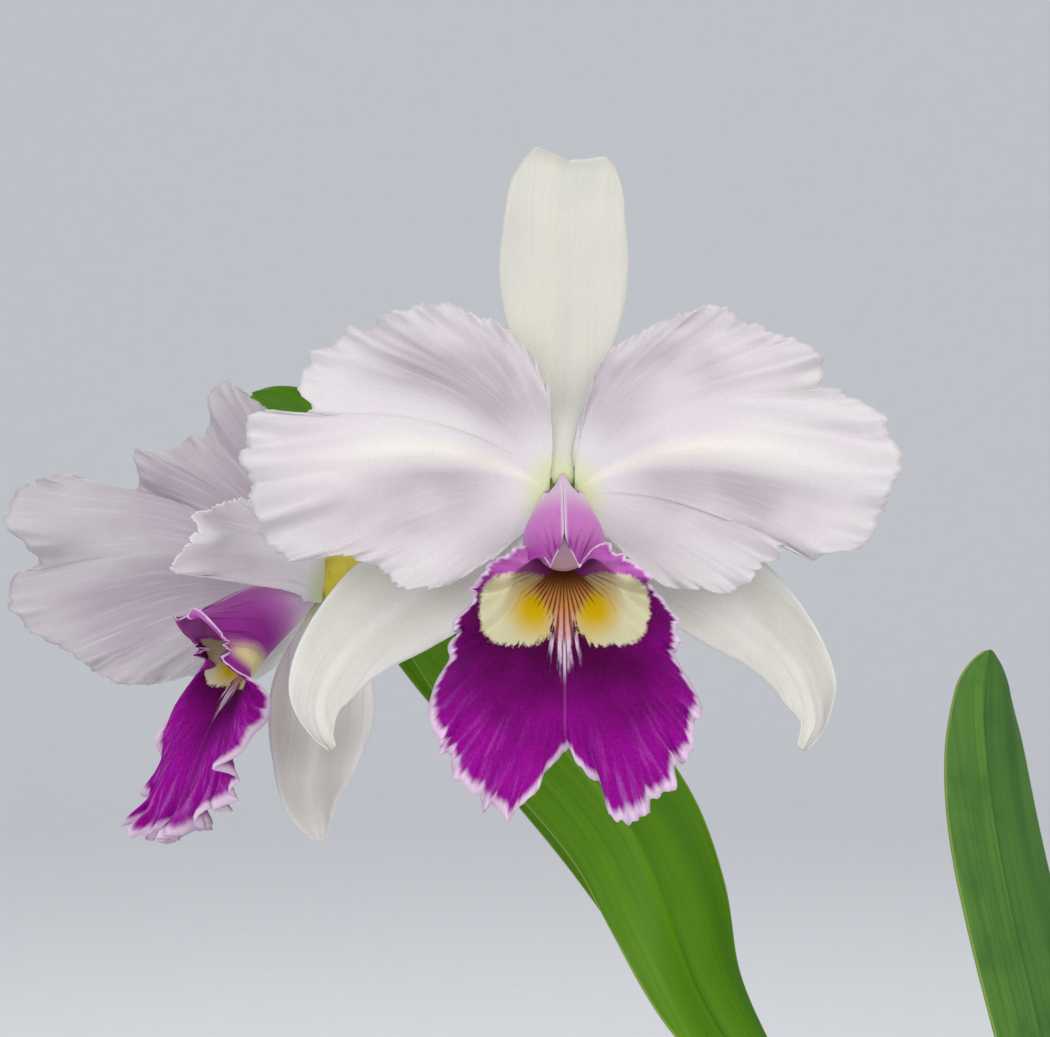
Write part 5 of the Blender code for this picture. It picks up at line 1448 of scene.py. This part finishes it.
class ORCHID_OT_columns(bpy.types.Operator):
    """Shape the column inside each lip, with its cap and its hollow underside"""
    bl_idname = "orchid.columns"
    bl_label = "Columns"

    def execute(self, context):
        tissue = column_tissue(looks()[1])
        for bloom in (BLOOM_A, BLOOM_B):
            dip = math.radians(bloom["tube_dip"])
            axis = Vector((0, -math.cos(dip), -math.sin(dip)))
            top = Vector((0, -math.sin(dip), math.cos(dip)))
            neck_y = OVARY_FRONT - SEAT_GAP
            path = curve_through([(0, neck_y, -1), (0, neck_y - 2, -1), axis * 5, axis * COLUMN_LENGTH])
            girth = SmoothCurve([(0, COLUMN_NECK), (0.08, COLUMN_NECK), (0.22, 3.2), (0.9, COLUMN_TIP),
                                 (1, COLUMN_TIP)])
            matrix = bloom_matrix(bloom)

            def place(w, angle, at_pole):
                around = polar(1, angle)
                bulge = 1 - smoothstep(0.90, 1.0, w) ** 3
                cap = 0.7 * bell(w, 0.93, 0.045) - 0.5 * bell(w, 0.865, 0.012)
                below = max(0.0, -around.y)
                cap += 1.6 * below * smoothstep(0.88, 0.97, w)
                hollow = 2.2 * below ** 3 * bell(w, 0.78, 0.09)
                keel = 0.5 * abs(around.x) ** 6
                radius = 0 if at_pole else (girth.at(w) + cap + keel - hollow) * max(bulge, 0.12)
                point = path.at(w) + Vector((around.x * radius, 0, 0)) + top * (around.y * radius * 0.85)
                return matrix @ point, (around.x * radius, around.y * radius, w)
            bm = bmesh.new()
            drawn_out(bm, *FINE_COLUMN_CELLS, place)
            node = bloom["name"] + "_column"
            finish_piece(node + "_body", bm, [tissue], "columns", node)
        return {"FINISHED"}


class ORCHID_OT_leaves(bpy.types.Operator):
    """Shape the five leathery leaves and the new shoot"""
    bl_idname = "orchid.leaves"
    bl_label = "Leaves and shoot"

    def execute(self, context):
        sizes, colours = looks()
        young = leaf_skin(colours, "young orchid leaf, leathery with a waxy skin",
                          colours.leaf_bright, colours.leaf_deep, 0.15, 0.06)
        old = leaf_skin(colours, "old orchid leaf, leathery and weathered",
                        colours.leaf_dull, colours.leaf_dark, 0.6, 0.05)
        for number, leaf in LEAVES.items():
            node = f"leaf_{number}"
            blade(node + "_blade", FINE_LEAF_CELLS, leaf_place(leaf), sizes.leaf_thickness,
                  [young if number in YOUNG_LEAVES else old], "leaves", node)
        bm = bmesh.new()
        drawn_out(bm, *FINE_SHOOT_CELLS, shoot_place)
        finish_piece("new_shoot_scales", bm, [young], "leaves", "new_shoot")
        return {"FINISHED"}


class ORCHID_OT_pseudobulbs(bpy.types.Operator):
    """Shape the five pseudobulbs and the papery husks round them"""
    bl_idname = "orchid.pseudobulbs"
    bl_label = "Pseudobulbs and husks"

    def execute(self, context):
        sizes, colours = looks()
        rind = bulb_skin(colours)
        paper = husk_paper(colours, "orchid husk, dry and papery", colours.husk_straw,
                           colours.husk_brown)
        for number, growth in GROWTHS.items():
            bm = bmesh.new()
            drawn_out(bm, *FINE_BULB_CELLS, bulb_place(growth, number))
            finish_piece(f"pseudobulb_{number}_rind", bm, [rind], "pseudobulbs", f"pseudobulb_{number}")
            blade(f"husk_{number}_paper", FINE_BRACT_CELLS, husk_place(growth, number),
                  sizes.husk_thickness, [paper], "husks", f"husk_{number}")
        return {"FINISHED"}


class ORCHID_OT_stem(bpy.types.Operator):
    """Shape the forked flower stem and the sheath that it rises from"""
    bl_idname = "orchid.stem"
    bl_label = "Flower stem and sheath"

    def execute(self, context):
        sizes, colours = looks()
        bm = bmesh.new()
        add_tube(bm, STEM_PATH, [(0, STEM_RADIUS), (0.8, 2.4), (1, 3.0)], *FINE_STEM_CELLS)
        for bloom in (BLOOM_A, BLOOM_B):
            yaw = math.radians(bloom["yaw"])
            centre = Vector(bloom["centre"])
            back = Vector((-math.sin(yaw), math.cos(yaw), 0))
            bow = Vector((0, 0, bloom["ovary_bow"]))
            route = [centre + back * OVARY_FRONT, centre + back * 9 + 0.7 * bow, centre + back * 15 + bow]
            route += [Vector(point) + 0.4 * bow for point in bloom["pedicel"][:1]]
            route += [Vector(point) for point in bloom["pedicel"][1:]] + [Vector(FORK)]
            radii = [(0, OVARY_RADIUS), (0.1, OVARY_RADIUS + 0.14 * bow.z), (0.2, 4.0), (0.45, 2.5), (1, 2.4)]
            add_tube(bm, route, radii, *FINE_STALK_CELLS)
        grown_together("flower_stem_skin", bm, STEM_GRAIN, stem_skin(colours), "stem", "flower_stem")
        path = curve_through(STEM_PATH)
        span = run_length(STEM_PATH)

        def place(u, w):
            torn = 1.6 * grain(u * 9, 0.4, 0.1)
            reach = (SHEATH_LENGTH - 26 * abs(u) ** 1.5 + torn * w) * w
            centre = path.at((0.4 + reach) / span)
            angle = math.radians(90 + 168 * u)
            wide = 3.6 + 4.4 * math.sin(math.pi * min(0.25 + 0.75 * w, 1)) * smoothstep(0, 0.3, w)
            deep = 3.6 + 0.8 * smoothstep(0, 0.5, w)
            point = centre + Vector((wide * math.cos(angle), deep * math.sin(angle), 0.3))
            return point, (angle * 6, reach, w), 1 - 0.4 * smoothstep(0.8, 1, w)
        paper = husk_paper(colours, "orchid sheath, half green and papery", colours.sheath_green,
                           colours.husk_straw)
        blade("flower_sheath_paper", FINE_BRACT_CELLS, place, sizes.husk_thickness, [paper], "sheath",
              "flower_sheath")
        return {"FINISHED"}


class ORCHID_OT_roots(bpy.types.Operator):
    """Shape the creeping rhizome and its roots"""
    bl_idname = "orchid.roots"
    bl_label = "Rhizome and roots"

    def execute(self, context):
        order = [GROWTHS[n]["base"] for n in (5, 4, 3, 2, 1)] + [SHOOT_BASE]
        ends = [(12, 47)] + order + [(-47, 12)]
        bm = bmesh.new()
        thick = [(0, RHIZOME_RADIUS), (1, RHIZOME_RADIUS)]
        add_tube(bm, [(x, y, RHIZOME_Z) for x, y in ends], thick, *FINE_RHIZOME_CELLS, 0.9)
        thin = [(0, ROOT_RADIUS), (1, ROOT_RADIUS - ROOT_TAPER)]
        for route in ROOT_ROUTES:
            points = [(x, y, RHIZOME_Z + up) for x, y, up in route]
            add_tube(bm, points, thin, *FINE_ROOT_CELLS, 0.35)
        grown_together("rhizome_and_roots_skin", bm, ROOT_GRAIN, root_skin(looks()[1]), "roots",
                       "rhizome_and_roots")
        return {"FINISHED"}


class ORCHID_OT_bark(bpy.types.Operator):
    """Fill the pot with chunks of bark"""
    bl_idname = "orchid.bark"
    bl_label = "Bark"

    def execute(self, context):
        sizes, colours = looks()
        floor = POT_FLOOR + SEAT_GAP

        def place(w, angle, at_pole):
            # The lower fifth of the sphere is the filling's underside, the rest rises to its top.
            inner = 0 if at_pole else 1
            if w < 0.2:
                point = polar((pot_radius(floor) - POT_WALL - FILL_GAP) * inner, angle, floor)
                return point, (0.1, point.x, point.z)
            share = (1 - w) / 0.8 if w < 1 or not at_pole else 0
            radius = (pot_radius(FILL_TOP) - POT_WALL - FILL_GAP) * min(share, 1) * inner
            x = radius * math.cos(angle)
            y = radius * math.sin(angle)
            top = FILL_TOP + 2.2 * grain(x / 7, y / 7, 0.5) * (1 - share**8)
            return Vector((x, y, top)), (0.1, x, y)
        bm = bmesh.new()
        drawn_out(bm, *FINE_FILLING_CELLS, place)
        chip = bpy.data.meshes.new("chip")
        draw = random.Random(BARK_SEED)
        # noise_vector takes its offsets from this seed, and from the clock where none is set.
        noise.seed_set(BARK_SEED)
        feet = [Vector(growth["base"]) for growth in GROWTHS.values()] + [Vector(SHOOT_BASE)]
        size = sizes.chunk_length / MM
        laid = 0
        while laid < sizes.chunk_count:
            spot = Vector((draw.uniform(-CHUNK_REACH, CHUNK_REACH), draw.uniform(-CHUNK_REACH, CHUNK_REACH)))
            grade = draw.uniform(0.55, 1.15)
            if spot.length > CHUNK_REACH or min((spot - foot).length for foot in feet) < 7 + 4 * grade:
                continue
            laid += 1
            turn = Euler((draw.gauss(0, 0.35), draw.gauss(0, 0.35), draw.uniform(0, math.tau))).to_matrix()
            half = Vector((size / 2, size * draw.uniform(0.28, 0.42),
                           size * draw.uniform(0.12, 0.24))) * grade
            middle = Vector((spot.x, spot.y, FILL_TOP + draw.uniform(-1.0, 3.4)))
            shade = draw.uniform(0.0, 9.0)
            lump = bmesh.new()
            layer = lump.verts.layers.float_vector.new("form")
            bmesh.ops.create_cube(lump, size=2.0)
            bmesh.ops.subdivide_edges(lump, edges=lump.edges, cuts=2, use_grid_fill=True)
            for vert in lump.verts:
                plain = vert.co * (1.18 - 0.13 * vert.co.length)
                rough = 0.32 * noise.noise_vector(vert.co * 1.3 + Vector((shade * 5, 0, 0)))
                local = (plain + rough) * half
                vert.co = middle + turn @ local
                vert[layer] = (shade, local.x * 0.4, local.z)
            # A chunk that would stand in the clay slides inward until it lies just clear of it.
            for _ in range(CHUNK_SLIDES):
                over = SEAT_GAP + max(vert.co.to_2d().length - (pot_radius(vert.co.z) - POT_WALL)
                                      for vert in lump.verts)
                if over > 0:
                    bmesh.ops.translate(lump, verts=lump.verts, vec=(-over * spot.normalized()).to_3d())
            lump.to_mesh(chip)
            lump.free()
            bm.from_mesh(chip)
        bpy.data.meshes.remove(chip)
        finish_piece("bark_chunks", bm, [bark_wood(colours)], "bark", "bark")
        return {"FINISHED"}


class ORCHID_OT_pot(bpy.types.Operator):
    """Turn the clay pot and drill its drain holes"""
    bl_idname = "orchid.pot"
    bl_label = "Clay pot"

    def execute(self, context):
        band = POT_HEIGHT - POT_RIM_BAND
        corners = [(0, POT_FLOOR), (pot_radius(POT_FLOOR) - POT_WALL, POT_FLOOR),
                   (pot_radius(POT_HEIGHT) - POT_WALL, POT_HEIGHT), (POT_RIM_RADIUS, POT_HEIGHT),
                   (POT_RIM_RADIUS - 2, band), (pot_radius(band), band - 0.6), (POT_BASE_RADIUS, 0),
                   (0, 0)]
        profile = [Vector((radius, 0, z)) for radius, z in corners]
        rounded = [profile[0]]
        for before, corner, after in zip(profile, profile[1:], profile[2:]):
            to_before = (before - corner).normalized()
            to_after = (after - corner).normalized()
            ease = min(POT_ROUNDING, 0.4 * (before - corner).length, 0.4 * (after - corner).length)
            for i in range(ROUNDING_STEPS + 1):
                f = i / ROUNDING_STEPS
                rounded.append(corner + to_before * (ease * (1 - f) ** 2) + to_after * (ease * f * f))
        rounded.append(profile[-1])
        bm = spun(rounded, POT_TURNS, MERGE)
        pot = finish_piece("pot_clay", bm, [fired_clay(looks()[1])], "pot", "pot")
        drills = []
        for number in range(DRAIN_COUNT):
            angle = math.tau * (number + 0.5) / DRAIN_COUNT
            bm = bmesh.new()
            bmesh.ops.create_cone(bm, cap_ends=True, segments=DRAIN_TURNS, radius1=DRAIN_RADIUS * MM,
                                  radius2=DRAIN_RADIUS * MM, depth=4 * POT_FLOOR * MM)
            bmesh.ops.translate(bm, verts=bm.verts, vec=(DRAIN_CIRCLE * math.cos(angle) * MM,
                                                         DRAIN_CIRCLE * math.sin(angle) * MM, 0))
            drill = mesh_object(f"drain_{number + 1}", bm)
            drills.append(drill)
            hole = pot.modifiers.new(drill.name, "BOOLEAN")
            hole.operation = "DIFFERENCE"
            hole.solver = "EXACT"
            hole.object = drill
        apply_modifiers(pot)
        for drill in drills:
            bpy.data.objects.remove(drill)
        return {"FINISHED"}


class ORCHID_OT_stage(bpy.types.Operator):
    """Set up the pale floor, the soft studio light and the camera"""
    bl_idname = "orchid.stage"
    bl_label = "Stage"

    def execute(self, context):
        sizes, colours = looks()
        scene = context.scene
        flat = sizes.floor_radius
        profile = [(0, 0, 0), (flat * 0.5, 0, 0), (flat, 0, 0)]
        for i in range(1, SWEEP_STEPS + 1):
            bend = math.radians(90 * i / SWEEP_STEPS)
            profile.append((flat + SWEEP * math.sin(bend), 0, SWEEP * (1 - math.cos(bend))))
        floor = mesh_object("studio_floor", spun(profile, FLOOR_TURNS, FLOOR_MERGE), [floor_paint(colours)])
        floor.data.shade_smooth()
        for name, (place, size, power, warmth, target) in LIGHTS.items():
            lamp = bpy.data.lights.new(name, "AREA")
            lamp.shape = "DISK"
            lamp.size = size
            lamp.energy = power
            lamp.color = hex_colour(warmth)[:3]
            holder = link_new(name, lamp)
            holder.location = place
            holder.rotation_euler = (target - Vector(place)).to_track_quat("-Z", "Y").to_euler()
        world = bpy.data.worlds.new("soft studio sky")
        world.use_nodes = True
        sky = world.node_tree.nodes["Background"]
        sky.inputs["Color"].default_value = hex_colour("#F2F5FA")
        sky.inputs["Strength"].default_value = SKY_STRENGTH
        scene.world = world
        lens = bpy.data.cameras.new("photo_camera")
        lens.sensor_width = SENSOR
        lens.lens = SENSOR * BLOOM_DISTANCE / VIEW_WIDTH
        camera = link_new("photo_camera", lens)
        camera.location = CAMERA_PLACE
        camera.rotation_euler = (math.radians(90), 0, 0)
        scene.camera = camera
        scene.view_settings.view_transform = "Standard"
        return {"FINISHED"}


OPERATORS = [
    ORCHID_OT_stage, ORCHID_OT_petals, ORCHID_OT_sepals, ORCHID_OT_lips, ORCHID_OT_columns,
    ORCHID_OT_leaves, ORCHID_OT_pseudobulbs, ORCHID_OT_stem, ORCHID_OT_roots, ORCHID_OT_bark, ORCHID_OT_pot,
]


class ORCHID_PT_panel(bpy.types.Panel):
    """Lists the orchid's pieces, sizes and colours"""
    bl_idname = "ORCHID_PT_panel"
    bl_label = "Cattleya Orchid"
    bl_space_type = "VIEW_3D"
    bl_region_type = "UI"
    bl_category = "Orchid"

    def draw(self, context):
        layout = self.layout
        for operator in OPERATORS:
            layout.operator(operator.bl_idname)
        for group in looks():
            for key in group.__annotations__:
                layout.prop(group, key)


CLASSES = [OrchidSizes, OrchidColours, *OPERATORS, ORCHID_PT_panel]


def register():
    """Register the classes and give the scene its sizes and colours."""
    for cls in CLASSES:
        bpy.utils.register_class(cls)
    bpy.types.Scene.orchid_sizes = PointerProperty(type=OrchidSizes)
    bpy.types.Scene.orchid_colours = PointerProperty(type=OrchidColours)


def unregister():
    """Take the classes and the scene's sizes and colours away again."""
    del bpy.types.Scene.orchid_colours
    del bpy.types.Scene.orchid_sizes
    for cls in reversed(CLASSES):
        bpy.utils.unregister_class(cls)


def main():
    """Make every piece in order."""
    register()
    for operator in OPERATORS:
        group, name = operator.bl_idname.split(".")
        getattr(getattr(bpy.ops, group), name)()


if __name__ == "__main__":
    main()
